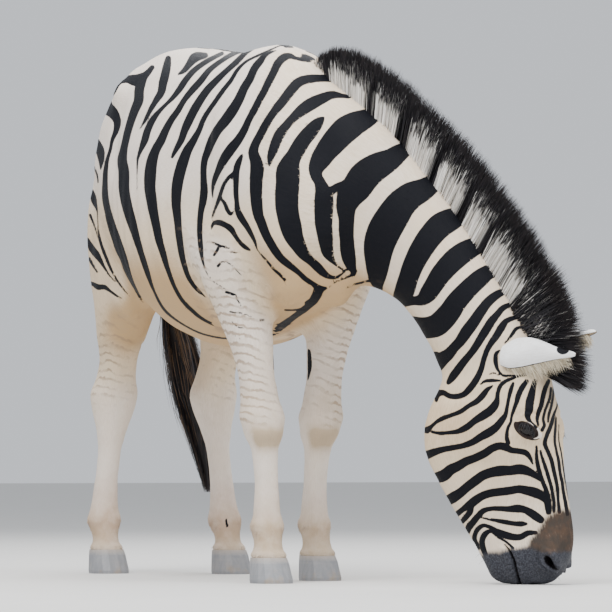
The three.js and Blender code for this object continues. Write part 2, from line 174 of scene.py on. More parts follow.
class Sheet:
    """How far inside a mark each place of the picture lies, in pixels; below nought is outside."""

    FINE = 2
    FAR = -16.0

    def __init__(self, marks):
        self.size = PICTURE * self.FINE
        self.depth = np.full((self.size, self.size), self.FAR)
        for mark in marks:
            self.paint(np.array(mark, float))

    def paint(self, mark):
        steps = np.linalg.norm(np.diff(mark[:, :2], axis=0), axis=1)
        t = np.concatenate([[0], np.cumsum(np.maximum(steps, 0.1))])
        fine = through(np.column_stack([t, mark]), np.arange(0, t[-1] + 1, 1.0).clip(0, t[-1]))
        for x, y, width in fine:
            reach = max(width, 0.5) / 2 - self.FAR * 0.5
            x0, x1 = (int(np.clip((x + d) * self.FINE, 0, self.size)) for d in (-reach, reach))
            y0, y1 = (int(np.clip((y + d) * self.FINE, 0, self.size)) for d in (-reach, reach))
            if x1 <= x0 or y1 <= y0:
                continue
            gx = np.arange(x0, x1) / self.FINE - x
            gy = np.arange(y0, y1) / self.FINE - y
            inside = width / 2 - np.sqrt(gx[None] ** 2 + gy[:, None] ** 2)
            window = self.depth[y0:y1, x0:x1]
            np.maximum(window, inside, out=window)

    def at(self, across, down):
        x = np.clip(across * self.FINE, 0, self.size - 1.001)
        y = np.clip(down * self.FINE, 0, self.size - 1.001)
        i, j = x.astype(int), y.astype(int)
        fx, fy = x - i, y - j
        d = self.depth
        top = d[j, i] * (1 - fx) + d[j, i + 1] * fx
        return top * (1 - fy) + (d[j + 1, i] * (1 - fx) + d[j + 1, i + 1] * fx) * fy


# ---------------------------------------------------------------- the marks of the coat
# Each mark is a band through points of the picture: across, down and the width of the band there.
FLANK_MARKS = [
    [(152, 67, 5), (146, 74, 7), (136, 80, 12), (128, 79, 8), (120, 82, 4), (114, 90, 5), (108, 98, 8),
     (106, 106, 13), (113, 113, 11), (117, 121, 8), (116, 130, 6), (112, 140, 4), (110, 150, 3.5),
     (107, 160, 4), (105.5, 170, 5), (105, 180, 5.5), (105.5, 200, 7), (107.5, 210, 7), (110, 220, 8),
     (116.5, 240, 9), (120, 250, 9), (124, 260, 7.5), (127, 270, 6.5), (131, 280, 4.5), (136, 290, 3),
     (141.5, 300, 3), (150, 310, 2), (155, 315, 1.5)],
    [(150, 68, 3), (146, 74, 5), (142, 80, 9), (139, 90, 10), (138.5, 100, 10), (134.5, 110, 9),
     (128, 130, 8), (123.5, 150, 8), (122, 160, 10), (123.5, 170, 11), (124, 190, 11), (128, 210, 10.5),
     (131, 220, 10), (134, 230, 8.5), (140, 250, 6.5), (146.5, 270, 5.5), (153.5, 290, 3),
     (164.5, 310, 3), (184, 325, 2), (200, 333, 2), (215, 337, 2), (232, 339, 2)],
    [(168, 58, 6), (167, 64, 8), (165.5, 72, 9), (163, 82, 9), (161, 92, 8), (156, 100, 6.5),
     (150, 110, 5), (145, 120, 3.5), (139.5, 129, 1)],
    [(222, 53, 4), (212, 58, 5), (202, 64, 5.5), (193, 71, 6), (186, 79, 6.5), (180, 88, 6.5),
     (173, 97, 5), (166, 104, 4), (160, 110, 4.5), (153, 119, 6.5), (147.5, 130, 7.5), (144.5, 140, 7.5),
     (140.5, 150, 4.5), (138, 157, 3), (137, 172, 1.5), (137, 190, 1)],
    [(205, 55, 6), (195, 57, 10), (189, 64, 7), (183, 71, 5), (178, 74, 2)],
    [(240, 50, 5), (230, 55, 5), (222, 60, 5), (209, 70, 6), (201, 80, 7), (192, 90, 7), (184, 100, 6),
     (178, 110, 6.5), (171, 120, 7), (165.5, 130, 8), (161, 140, 9), (155.5, 150, 9.5), (152, 160, 11),
     (150.5, 170, 12), (150, 190, 11.5), (151.5, 200, 11), (153, 210, 10), (157, 230, 8.5),
     (159, 240, 8), (162, 250, 7), (168, 270, 5), (176, 290, 4), (182, 300, 4), (191.5, 310, 4),
     (201, 318, 3.5), (215, 325, 3), (230, 328.5, 3), (246, 330, 2)],
    [(258.5, 44.7, 3), (246, 52, 5), (238, 60, 6), (227, 70, 6), (216.5, 80, 7), (207, 90, 8),
     (200, 100, 8.5), (194, 110, 9), (189, 120, 9), (184.5, 130, 8), (181, 140, 7), (175.5, 150, 5),
     (172, 157, 3)],
    [(280, 45.3, 1.5), (270, 49.5, 2), (258, 55, 2.5), (245, 62, 3), (237, 70, 4), (231, 80, 4.5),
     (223, 90, 5), (216, 100, 5), (203, 120, 5.5), (199, 130, 6), (193.5, 140, 7.5), (187.5, 150, 9.5),
     (183.5, 160, 11), (178, 180, 11.5), (176.5, 190, 11), (176, 200, 10), (177.5, 220, 8),
     (179.5, 240, 7), (183, 260, 6), (190, 280, 4.5), (197.5, 290, 4), (209, 300, 3), (216, 305, 3.5),
     (226, 310, 3.5), (240, 314, 3)],
    [(276, 50.4, 1.5), (270, 52, 3), (265, 55, 5), (260, 61, 7.5), (254.5, 68, 8), (250, 78, 8.5),
     (244, 88, 9), (238.5, 100, 10), (232.5, 110, 11), (225.5, 120, 11), (217.5, 130, 9.5),
     (212, 140, 9), (208, 150, 8), (204.5, 160, 7), (203.5, 180, 7), (204, 190, 8), (203, 200, 8),
     (201, 210, 6.5), (200, 220, 6), (200, 240, 5.5), (201, 250, 5), (202.5, 260, 3), (205.5, 270, 2),
     (212, 280, 1.5), (225, 289, 1.5)],
    [(310, 61, 4), (303, 59.5, 4), (296, 58, 4), (290, 55.5, 6), (284, 57, 8), (278, 63, 8.5),
     (273.5, 72, 8), (268.5, 82, 8), (264, 91, 7.5), (259, 100, 7.5), (254, 110, 7.5), (249.5, 118, 7),
     (244, 130, 8), (238, 140, 9), (230, 150, 10.5), (223.5, 160, 9.5), (218.5, 170, 7),
     (214.5, 180, 5.5), (212.5, 190, 3), (212.5, 198, 1.5)],
    [(242, 155, 3), (239, 161, 6), (236.3, 170, 7), (236, 181.5, 6), (235.9, 193, 5.5), (236.7, 202, 5),
     (238, 211.5, 6.5), (241.8, 218.7, 7), (246.2, 225.4, 6), (250.8, 233.5, 5), (254.8, 241.5, 3.5),
     (257.7, 249.6, 2), (262.9, 256.5, 2.2), (268, 262.3, 2.6), (273.8, 269.2, 3), (280.8, 275.6, 3.3),
     (285.4, 280.8, 3), (287.1, 285.4, 1.5)],
    [(236, 172, 5), (229, 177, 4), (224, 184, 4), (221, 192, 4), (218.5, 200, 4), (215, 209, 3),
     (212, 218, 2)],
    [(220, 197, 3), (225, 204, 4), (227.7, 210.4, 4.5), (230.6, 213.8, 4), (233.5, 212.7, 2)],
    [(211, 228.8, 2.5), (213.8, 223, 4), (218.5, 222.5, 6), (225.4, 225, 6), (230.6, 228.5, 6.5),
     (234.6, 234.6, 5), (239.2, 241.5, 4.5), (245, 247, 4.5), (250, 250, 2.5)],
    [(92, 136, 6), (96, 143, 9), (100, 151, 9), (101, 160, 6), (100.5, 169, 1.5)],
    [(93, 165, 2), (97, 175, 2), (98, 183, 1.5)],
    [(87, 184, 4), (89, 187, 4), (92.5, 195, 6), (94, 201, 6), (96, 208, 2)],
    [(90, 215, 3), (94, 225, 2), (99, 240, 2)],
    [(97, 207, 1.5), (97.5, 220, 1.5), (98.5, 232, 2), (101, 244, 3), (105, 255, 3.5), (109.5, 266, 3),
     (114, 275, 2.5), (121, 286, 2), (130, 297, 1)],
    [(87, 240, 5), (89, 243, 5), (92, 249, 7), (96, 254, 7), (100, 260, 5), (104, 267, 3), (109, 275, 2),
     (116, 283, 1)],
    [(89, 258, 3), (91, 262, 3), (97, 272, 2)],
    [(90, 283, 4), (93, 284, 4), (98, 287, 6), (104, 287, 5), (110, 291, 3), (117, 296, 2.5),
     (125, 300, 1)],
    [(97, 304, 2), (100, 306, 2), (106, 311, 2), (112, 314, 1.5)],
]
CHEST_MARKS = [
    [(334, 78, 8), (323, 77.8, 7.5), (309.7, 78.6, 9), (298.5, 82, 10), (292.8, 87.8, 10.5),
     (285.6, 97, 10), (280, 104, 9.7), (272.3, 114, 8.3), (265.6, 124.7, 8.5), (259.5, 136, 8.7),
     (254.4, 146.3, 9.2), (253.2, 152, 10.5), (255.5, 159.6, 12), (257, 167.3, 14), (256.3, 178.6, 13.5),
     (256, 193, 12.5), (256.8, 204.6, 12), (258.6, 216, 10.5), (261.2, 222.5, 10), (267.1, 237, 9),
     (271.3, 244.4, 8.8), (275.6, 251.3, 8.5), (281.3, 258.6, 7.8), (288.3, 264.4, 7.3), (298, 272, 5.5),
     (305.6, 279, 5.5), (313.7, 284.2, 5), (322.3, 288.3, 4.5), (328, 287.5, 2), (336.2, 281.9, 1.5),
     (344.2, 278.5, 2), (352, 274.8, 3), (356, 272, 3.5)],
    [(324, 289, 3), (321, 291, 5), (316.5, 295.8, 5.5), (311, 300.5, 4.5), (305, 302.7, 2.5)],
    [(350, 96, 5), (343.6, 95.8, 4.6), (333.3, 94.5, 8), (320.5, 99, 11.5), (310.3, 104.2, 13),
     (300.5, 111, 11.5), (291.8, 119, 9), (284.6, 127.3, 9.5), (279.2, 135, 11), (276, 141.7, 10.5),
     (273.3, 149.4, 10), (270.6, 156.5, 7.5), (269.7, 163.2, 4), (269.5, 167, 1)],
    [(324, 117, 2), (319, 121.7, 9.5), (309.7, 132.4, 14.8), (303.3, 140, 15.6), (298, 148.5, 16),
     (293.5, 156.5, 16.2), (289.4, 164.7, 20), (288, 171.4, 24), (287.7, 181.5, 24), (286.9, 193, 24),
     (286.8, 204.6, 23.5), (288.3, 216.2, 22.5), (290.9, 226.5, 22), (293.7, 236.3, 19),
     (298.7, 245.6, 15), (303.8, 254, 12), (310.8, 260.9, 8.7), (317.5, 267, 9.2), (323.5, 273, 7.7),
     (329.2, 276.7, 5), (336.2, 277.3, 3.2), (341, 274.5, 2.3), (344.5, 271.5, 1.5)],
    [(372, 116, 16), (365.4, 119, 20), (356, 123, 24), (347, 128.5, 27), (338, 137, 26),
     (332, 144, 24.6), (326.4, 150.9, 22.5), (320.3, 160, 20), (316, 168.3, 15), (316, 175, 12),
     (319.4, 181.5, 11.5), (322.5, 190, 15), (323.9, 198.8, 19), (323.7, 210.4, 19), (323.6, 222, 18),
     (324.8, 233.5, 16), (326.3, 245, 14), (328, 253, 11.5), (332, 260, 6), (336, 264.6, 3),
     (344.2, 270.4, 2.5)],
    [(405, 149, 15), (398, 154, 19), (390.5, 159.5, 22), (382, 164, 26), (373, 169, 29),
     (363.8, 177, 31), (357, 187, 30), (350, 196, 26), (346.6, 205, 21), (346.5, 219.6, 16),
     (346.2, 230, 15.5), (346.8, 239.2, 14.5), (347.7, 250.8, 15), (349.4, 260, 13.5),
     (351.3, 265.8, 10), (353.5, 271.5, 6), (354, 275, 3)],
    [(345, 182, 4), (337, 187, 8), (330, 192, 9), (325, 198, 10)],
    [(438, 181, 14), (432.6, 183.8, 18), (422.8, 190, 23), (412, 195, 27), (401.8, 203.5, 30),
     (392.3, 217, 33), (383, 233.7, 33.5), (379.2, 244.9, 31), (378.2, 252.6, 28.5), (377.7, 261.8, 25),
     (377.4, 272.9, 20), (377.6, 281.3, 14), (379.4, 287, 7), (382, 291, 2)],
    [(466, 211, 14), (459.2, 215.6, 18), (451, 219.7, 23), (441.7, 224.5, 25), (430.7, 235.8, 24.6),
     (420.3, 251.3, 23), (412.6, 266.7, 21), (408.8, 277.2, 20), (404.6, 290.7, 20), (402, 299, 16),
     (407, 302, 9), (414.1, 300.8, 9), (422.3, 299.7, 12), (427.4, 294.6, 17), (433.6, 285.4, 19),
     (440.3, 275.1, 20.5), (449, 264.9, 22), (459.2, 255.6, 22.5), (470.5, 248.5, 20),
     (483.8, 242.8, 14), (490, 240, 11)],
    [(508, 266, 10), (498.5, 269.9, 12), (488.7, 272, 15), (481, 277.5, 18), (472.3, 285.1, 19),
     (463.6, 293.9, 20), (456, 302.6, 21), (450.5, 311, 22), (443.4, 319.5, 23), (436.3, 325.5, 23),
     (428.7, 327.5, 22), (420, 327.2, 20), (412, 324, 16)],
    [(521, 288, 3), (512, 290.5, 4), (507.2, 290.6, 5), (500.6, 292.8, 8), (495.2, 296, 9),
     (487.6, 302.6, 10), (480.5, 312, 11), (472.3, 324, 12), (465.8, 332.7, 12.5), (460.9, 340.3, 11),
     (453.8, 348, 10.5), (448.3, 354.5, 12), (441.8, 359.5, 14), (438.5, 364.3, 13), (439, 370.3, 3)],
    [(426.5, 351.2, 3), (430.4, 354.5, 6), (436, 357, 11)],
    [(526.8, 297.1, 3), (518, 301.5, 4), (509.4, 304.8, 5), (502.8, 308.2, 6.5), (497.4, 314.2, 7),
     (491.9, 320.7, 8.5), (486.5, 329.4, 9), (481, 338, 8.5), (475.6, 346.9, 8), (470, 354.5, 7.5),
     (463.6, 362, 8), (457, 370.8, 8.5), (452.5, 377, 8), (448.5, 382.5, 5)],
    [(549.7, 303.3, 3), (539.9, 307.6, 3.5), (529, 312, 4), (521.4, 315.8, 4.5), (513.7, 318, 5),
     (506.1, 321.3, 6), (501.7, 327.2, 8), (496.3, 336, 7.5), (490.8, 343.6, 6.5), (487.6, 349, 6),
     (484.3, 357.8, 5.5), (481, 369.7, 6), (475.6, 380.6, 7), (469, 389.4, 7), (463.6, 394.5, 6),
     (457, 396.5, 6), (449.4, 396, 5.5), (442.9, 392.7, 6), (438, 393.7, 7), (436.3, 401, 3)],
    [(552, 324, 3), (540, 327, 3), (532, 329.5, 3), (520.3, 327.3, 3.5), (516, 329, 4),
     (512.6, 333.8, 4), (509.4, 338, 3), (505, 343, 2)],
    [(346.5, 287.7, 1.5), (353.5, 284.8, 2.5), (360.4, 283, 2.5), (367.9, 280.2, 2)],
    [(275, 324, 1.5), (290, 325, 1.5), (307, 320, 1.5)],
    [(275, 335, 1.2), (290, 332, 1.2), (306, 326, 1.2)],
    [(285, 310, 2), (295, 310, 2), (307, 307, 2)],
]
FACE_MARKS = [
    [(500, 350.5, 2.5), (496.3, 353.4, 4), (495.5, 358.8, 5), (496.3, 365.4, 4.5), (498.5, 370.8, 3),
     (502.8, 375.2, 3), (510.5, 375.7, 2.5), (516, 375.2, 2)],
    [(489.7, 374, 1.5), (494, 373, 2), (498.5, 375.2, 2)],
    [(480, 384.5, 2), (485.4, 381.2, 3.5), (490.8, 380.6, 4), (500, 380.6, 2.5)],
    [(525.7, 374.7, 3), (518, 376.3, 3), (512.6, 378.5, 3), (506, 381, 4), (500.3, 386, 4.5),
     (498, 392.5, 4.5), (497, 400, 5.5), (495.3, 404.5, 8), (489.8, 411, 9), (483.2, 415.5, 9),
     (474.5, 421, 7), (466.9, 427, 7), (458, 431.3, 5.5), (448.3, 432.7, 4), (439.6, 433.2, 4),
     (432, 431.9, 3)],
    [(492.5, 386, 2), (487.5, 389.4, 5), (483.2, 394.8, 6.5), (476.7, 401.4, 6), (469, 405.7, 5),
     (460.3, 411.7, 5), (450.5, 415.5, 4.5), (441.8, 418.8, 5), (436.3, 422, 4), (430.9, 427, 4.5),
     (427, 430.2, 7)],
    [(513.2, 383.4, 3), (511, 389.4, 4.5), (508.8, 398, 4), (507.2, 406.8, 4), (505, 415.5, 5),
     (501.2, 421, 7), (496.3, 427, 8), (489.8, 431.9, 9), (481, 436.8, 8), (472.3, 442.2, 7),
     (463.6, 445.5, 6), (452.7, 447.7, 6), (441.8, 449.8, 6.5), (433, 452.6, 8), (427, 455, 9)],
    [(526.5, 381.5, 5), (522.4, 387.2, 6), (518.6, 394.8, 6), (516.4, 402.4, 5), (513.7, 410, 4),
     (511.5, 416.6, 3), (510.7, 422, 3), (508.3, 427, 3.5), (506.9, 433, 4), (506.9, 438.4, 4.5),
     (508, 443, 5)],
    [(532.5, 463.8, 2), (530.4, 458.6, 4), (525.8, 452.9, 6), (518.8, 451.2, 6), (510.8, 450, 6.5),
     (505, 447, 8), (499.8, 446, 8), (493.5, 447.7, 8), (484.2, 453.5, 8.5), (475, 458, 8.5),
     (465.8, 461.5, 9), (457.7, 466.2, 10), (450.8, 469.6, 11), (443.8, 475.4, 12), (436, 478, 11)],
    [(540, 480, 3), (536, 476, 6), (530.4, 472.5, 8), (521.2, 469.4, 10.5), (509.6, 470.5, 10),
     (500.4, 470.9, 11), (491.2, 472.5, 10), (483, 475.4, 10), (475, 481, 10), (467, 487, 9.5),
     (460, 493, 10), (453, 497.5, 11), (447, 501, 10)],
    [(547.7, 513, 4), (547.5, 507.7, 6), (546.5, 500.8, 7), (541.9, 496.2, 9), (535, 492.7, 10.5),
     (527, 490.6, 9.5), (518.8, 489.2, 8.5), (509.6, 490.6, 8.5), (500.4, 491.8, 8.5), (491.2, 493, 8.5),
     (483, 495.6, 8.5), (476.2, 499.6, 9), (470.4, 504.2, 9), (463.5, 508.8, 6), (457, 514, 6)],
    [(471, 507, 6), (470.4, 511.2, 6), (467, 515.8, 6), (461, 522.5, 5)],
    [(540.4, 519.6, 8), (536, 516.5, 9), (530, 512.5, 8.5), (524.2, 509.6, 7.5), (517.7, 508.5, 8.5),
     (509.6, 509, 6.5), (500.4, 508.6, 5.5), (490, 508.8, 5), (483, 511, 6), (478, 516, 6.5),
     (473, 522, 7), (468.5, 528, 7), (467, 534, 4)],
    [(479.6, 517, 1.5), (486.5, 518.7, 2.5), (495.8, 520.4, 4), (505, 522, 5.2), (514.2, 523.5, 5),
     (522.3, 523.8, 5.5), (526.3, 523.8, 3)],
    [(535.8, 532.5, 4), (528, 533, 6), (520, 537, 6.5), (510.8, 536.5, 7.5), (502.7, 534, 7.5),
     (495.8, 530.8, 6), (489, 526.6, 4), (483, 525.5, 4.5), (478.8, 528, 5), (475.4, 533, 5),
     (474.3, 538, 5), (476.5, 544, 4), (479, 549, 2.5)],
    [(513, 548, 3), (507, 542.5, 2.5), (498, 537, 3), (490, 531, 4), (485, 534, 6), (482, 541, 6),
     (483, 548, 6), (486, 556, 5)],
    [(535, 381.2, 5), (533.3, 387.2, 6), (531.2, 395.9, 8), (529.5, 403.5, 9), (529, 410, 8.5),
     (527.5, 415.5, 6.5), (529.5, 421, 4), (534, 425.4, 3), (537.7, 429, 3)],
    [(548.5, 381, 4), (544.5, 390.5, 5), (542.6, 398, 5), (541, 405.7, 5), (538.2, 413.3, 4.5),
     (537.2, 419.9, 3.5), (538.3, 425.3, 2.5)],
    [(551, 388, 2.5), (549.7, 398, 3), (546.4, 406.8, 3), (544.3, 413.3, 3), (543.2, 419.9, 3),
     (544.3, 425.3, 3.5), (542, 430, 4)],
    [(554, 384, 2), (552.9, 398, 2.5), (550.8, 407.9, 3), (548.6, 415.5, 3), (548, 422, 2)],
    [(557.5, 392, 1.5), (556.5, 408, 2), (553.8, 414.4, 3), (551.9, 422, 4), (549.7, 428.6, 4.5),
     (546.4, 436.2, 4.5), (544.8, 443.9, 4.5), (547, 449.7, 4.5), (551, 459.2, 4.5), (553.5, 469.6, 4.5),
     (555.8, 480, 4), (557.5, 490.4, 4), (558, 499.6, 3.5), (559.2, 512, 4)],
    [(536.4, 446.5, 2.5), (536.6, 458, 4), (538.5, 468.5, 4.5), (542, 480, 4.5), (546.5, 491.5, 5),
     (549, 501, 4), (550, 513, 3)],
    [(540.2, 451, 2.5), (543, 460.4, 3.5), (546.5, 470.8, 4), (549.4, 481, 4), (551.7, 489.2, 4),
     (553, 498.5, 3.5), (553.5, 512, 3)],
    [(556, 418, 2), (555.2, 430.4, 3), (554.6, 440.8, 3), (556.3, 451, 3), (558.7, 461.5, 3.5),
     (559.8, 472, 3.5), (562, 482.3, 3.5), (563.3, 491.5, 3.5), (565, 500.8, 4), (567.3, 514, 4)],
    [(558.7, 425, 1.5), (558.7, 439.6, 1.5), (561.5, 454.6, 1.8), (563.3, 468.5, 1.8), (566, 484.6, 2),
     (569, 500, 2)],
]
LEG_MARKS = [
    [(226, 292, 3), (235, 295, 3)],
    [(237, 299, 2), (241, 306, 1.5)],
    [(260, 320, 2.5), (264, 320, 2.5)],
    [(230, 312, 1.2), (240, 313, 1.8), (252, 317, 1)],
    [(232, 322, 1.5), (238, 327, 2), (247, 329, 1.5)],
    [(234, 335, 1.2), (240, 339, 1.5)],
    [(212, 242, 2), (221, 246, 3), (229, 248, 2)],
    [(214, 255, 3), (218, 249, 3)],
    [(231, 252, 2), (238, 253, 2)],
    [(218, 266, 3), (222, 262, 2), (230, 264, 1.5), (238, 272, 1.5), (242, 276, 1.5)],
    [(362, 292, 3), (363, 295, 2)],
    [(222, 236, 1.5), (232, 240, 1.5)],
    [(308, 352, 6), (308, 366, 8), (306, 378, 6)],
    [(275, 354, 4), (275.5, 370, 4)],
    [(226, 518, 2), (227, 526, 3)],
]


# ---------------------------------------------------------------- the skin
VOXEL = 0.0107
BAND = 6.0  # distances are known this many cells to each side of the surface
COAT_DEPTH = 0.004
FILLET = 0.022
MARGIN = 8
FLOOR_GAP = 0.001


def corners(node):
    """A CAD node's points, in the animal's own frame, and its triangles."""
    mesh = NODES[node].data
    points = np.zeros(len(mesh.vertices) * 3, np.float32)
    mesh.vertices.foreach_get("co", points)
    mesh.calc_loop_triangles()
    faces = np.zeros(len(mesh.loop_triangles) * 3, np.int32)
    mesh.loop_triangles.foreach_get("vertices", faces)
    points = points.reshape(-1, 3).astype(float) - SHIFT
    whole, index = np.unique(points.round(6), axis=0, return_inverse=True)
    faces = index.reshape(-1)[faces].reshape(-1, 3)
    solid = (faces[:, 0] != faces[:, 1]) & (faces[:, 1] != faces[:, 2]) & (faces[:, 0] != faces[:, 2])
    return whole, faces[solid]


class Volume:
    """Signed distances on a grid of cells that holds the whole animal."""

    def __init__(self, low, high):
        self.first = np.floor(low / VOXEL).astype(int) - MARGIN
        self.shape = tuple(np.ceil(high / VOXEL).astype(int) + MARGIN - self.first)
        self.far = VOXEL * BAND

    def distances(self, points, faces):
        grid = vdb.FloatGrid.createLevelSetFromPolygons(
            points.astype(np.float32),
            triangles=faces.astype(np.uint32),
            transform=vdb.createLinearTransform(voxelSize=VOXEL),
            halfWidth=BAND,
        )
        values = np.full(self.shape, self.far, np.float32)
        grid.copyToArray(values, ijk=tuple(int(i) for i in self.first))
        return values

    def surface(self, values, inset):
        grid = vdb.FloatGrid()
        grid.background = self.far
        grid.copyFromArray(values, ijk=tuple(int(i) for i in self.first))
        grid.transform = vdb.createLinearTransform(voxelSize=VOXEL)
        points, quads = grid.convertToQuads(isovalue=inset)
        return points.astype(float), quads.astype(int)

    def between(self, values, points):
        """Values at points, blended from the eight cells about each."""
        at = points / VOXEL - self.first
        cell = np.floor(at).astype(int)
        part = at - cell
        total = np.zeros(len(points))
        for corner in np.ndindex(2, 2, 2):
            share = np.prod(np.where(corner, part, 1 - part), axis=1)
            i, j, k = (cell + corner).T
            total += share * values[i, j, k]
        return total

    def sample(self, values, points):
        at = np.clip(np.rint(points / VOXEL).astype(int) - self.first, 0, np.array(self.shape) - 1)
        return values[at[:, 0], at[:, 1], at[:, 2]]


def split(quads):
    return np.vstack([quads[:, [0, 1, 2]], quads[:, [0, 2, 3]]])


def neighbours(quads):
    pairs = np.vstack([quads[:, [0, 1]], quads[:, [1, 2]], quads[:, [2, 3]], quads[:, [3, 0]]])
    pairs = np.unique(np.sort(pairs, 1), axis=0)
    return pairs[pairs[:, 0] != pairs[:, 1]]


def relax(points, pairs, rounds, strength):
    """Evens out a surface; strength is the share of each point's step, from nought to one."""
    a, b = pairs.T
    count = np.bincount(np.concatenate([a, b]), minlength=len(points))[:, None]
    for _ in range(rounds):
        total = np.zeros_like(points)
        for axis in range(points.shape[1]):
            sums = np.bincount(a, points[b, axis], len(points))
            total[:, axis] = sums + np.bincount(b, points[a, axis], len(points))
        points = points + (total / np.maximum(count, 1) - points) * strength[:, None]
    return points


def normals_of(points, quads):
    a, b, c, d = (points[quads[:, i]] for i in range(4))
    face = np.cross(c - a, d - b)
    total = np.zeros_like(points)
    for i in range(4):
        for axis in range(3):
            total[:, axis] += np.bincount(quads[:, i], face[:, axis], len(points))
    return unit(total)


def refine(points, quads, labels, chosen):
    """Splits the chosen quads in four; the quads beside them keep their shape with a fan."""
    edges = np.vstack([quads[:, [i, (i + 1) % 4]] for i in range(4)])
    key = np.sort(edges, 1)
    unique, index = np.unique(key, axis=0, return_inverse=True)
    index = index.reshape(4, -1).T
    wanted = np.zeros(len(unique), bool)
    wanted[index[chosen].ravel()] = True
    number = np.cumsum(wanted) - 1 + len(points)
    middles = points[unique[wanted]].mean(1)
    middle_labels = labels[unique[wanted][:, 0]]
    centres = points[quads[chosen]].mean(1)
    centre_number = np.arange(chosen.sum()) + len(points) + len(middles)
    fine = []
    q, e = quads[chosen], number[index[chosen]]
    for i in range(4):
        fine.append(np.column_stack([q[:, i], e[:, i], centre_number, e[:, (i + 3) % 4]]))
    points = np.vstack([points, middles, centres])
    labels = np.concatenate([labels, middle_labels, labels[q[:, 0]]])
    rest = quads[~chosen]
    hanging = wanted[index[~chosen]]
    plain = rest[~hanging.any(1)]
    fans = []
    mixed = np.flatnonzero(hanging.any(1))
    rest_index = index[~chosen]
    for k in mixed:
        loop = []
        for i in range(4):
            loop.append(rest[k, i])
            if hanging[k, i]:
                loop.append(number[rest_index[k, i]])
        start = next(i for i, p in enumerate(loop) if p >= number[0]) if len(loop) > 4 else 0
        loop = loop[start:] + loop[:start]
        for i in range(1, len(loop) - 1):
            fans.append((loop[0], loop[i], loop[i + 1], loop[i + 1]))
    parts = [plain, *fine] + ([np.array(fans)] if fans else [])
    return points, np.vstack(parts), labels


# The numbers of the skin's parts, in the order of FLESH.
TRUNK, NECK_PART, HEAD = 0, 1, 2
FORE_LEGS, HIND_LEGS, RIGHT_LEGS = (3, 4), (5, 6), (3, 5)
LEG_PARTS = FORE_LEGS + HIND_LEGS
TAIL_PART = 7


def flesh_surface():
    """The flesh and hooves as one smooth surface, the part each point belongs to, and the volume."""
    shapes = [corners(node) for node in FLESH + HOOVES]
    low = np.min([points.min(0) for points, _ in shapes], 0)
    high = np.max([points.max(0) for points, _ in shapes], 0)
    volume = Volume(low, high)
    fields = np.stack([volume.distances(points, faces) for points, faces in shapes])
    whole = fields.min(0)
    owner = fields.argmin(0)
    owner = np.where(owner < len(FLESH), owner, owner - len(FLESH) + LEG_PARTS[0])
    grown, quads = volume.surface(whole, FILLET)
    whole = volume.distances(grown, split(quads)) + FILLET
    whole = np.minimum(whole, fields.min(0))
    points, quads = volume.surface(whole, -COAT_DEPTH)
    return points, quads, volume.sample(owner, points), volume, whole


def settle(points, quads, labels, volume, whole):
    """Brings a smoothed surface back out to the coat's depth under the flesh's outline."""
    depth = np.where(labels <= NECK_PART, 0.0025, 0.0015)
    short = np.clip(-depth - volume.between(whole, points), -0.001, 0.010)
    short = relax(short[:, None], neighbours(quads), 16, np.full(len(points), 0.8))
    return points + short * normals_of(points, quads)


def leg_places(points, labels):
    """Each leg point's height, how far it is in front of and to the left of the middle of its leg."""
    fore, left = np.zeros(len(points)), np.zeros(len(points))
    for number, name in zip(LEG_PARTS, LEGS):
        mine = np.flatnonzero(labels == number)
        z = points[mine, 2]
        levels = np.arange(0.03, 1.1, 0.02)
        centres = []
        for level in levels:
            near = mine[np.abs(z - level) < 0.02]
            ring = points[near, :2]
            centres.append((ring.min(0) + ring.max(0)) / 2 if len(near) > 8 else vec(np.nan, np.nan))
        centres = np.array(centres)
        good = ~np.isnan(centres[:, 0])
        fore[mine] = points[mine, 0] - np.interp(z, levels[good], centres[good, 0])
        left[mine] = points[mine, 1] - np.interp(z, levels[good], centres[good, 1])
        if name.endswith("right"):
            left[mine] *= -1
    return fore, left


# Rises and hollows of the flesh: ends of a line (x, y, z), its reach and its height; both sides.
RELIEF = [
    ((0.455, 0.17, 1.20), (0.50, 0.19, 0.90), 0.030, 0.008),
    ((0.37, 0.19, 1.12), (0.42, 0.20, 0.88), 0.022, -0.007),
    ((0.30, 0.20, 0.86), (0.38, 0.20, 0.76), 0.050, 0.012),
    ((0.245, 0.20, 0.94), (0.30, 0.18, 0.70), 0.030, -0.009),
    ((0.56, 0.12, 1.10), (0.62, 0.13, 0.86), 0.026, -0.009),
    ((0.66, 0.0, 0.90), (0.68, 0.0, 0.74), 0.022, -0.012),
    ((0.62, 0.10, 0.80), (0.60, 0.10, 0.68), 0.045, 0.008),
    ((-0.30, 0.25, 1.18), (-0.24, 0.25, 1.05), 0.045, -0.012),
    ((-0.40, 0.17, 1.30), (-0.36, 0.20, 1.24), 0.035, 0.012),
    ((-0.22, 0.25, 0.90), (-0.34, 0.21, 0.74), 0.028, -0.010),
    ((-0.56, 0.19, 1.20), (-0.52, 0.20, 0.85), 0.030, -0.008),
    ((-0.66, 0.12, 1.14), (-0.70, 0.08, 0.92), 0.035, 0.008),
    ((-0.10, 0.24, 0.66), (-0.26, 0.20, 0.68), 0.030, -0.006),
    ((-0.60, 0.0, 1.30), (-0.20, 0.0, 1.36), 0.028, -0.004),
]


def from_line(points, a, b):
    a, b = np.array(a), np.array(b)
    t = np.clip((points - a) @ (b - a) / ((b - a) @ (b - a)), 0, 1)
    return np.linalg.norm(points - a - t[:, None] * (b - a), axis=1)


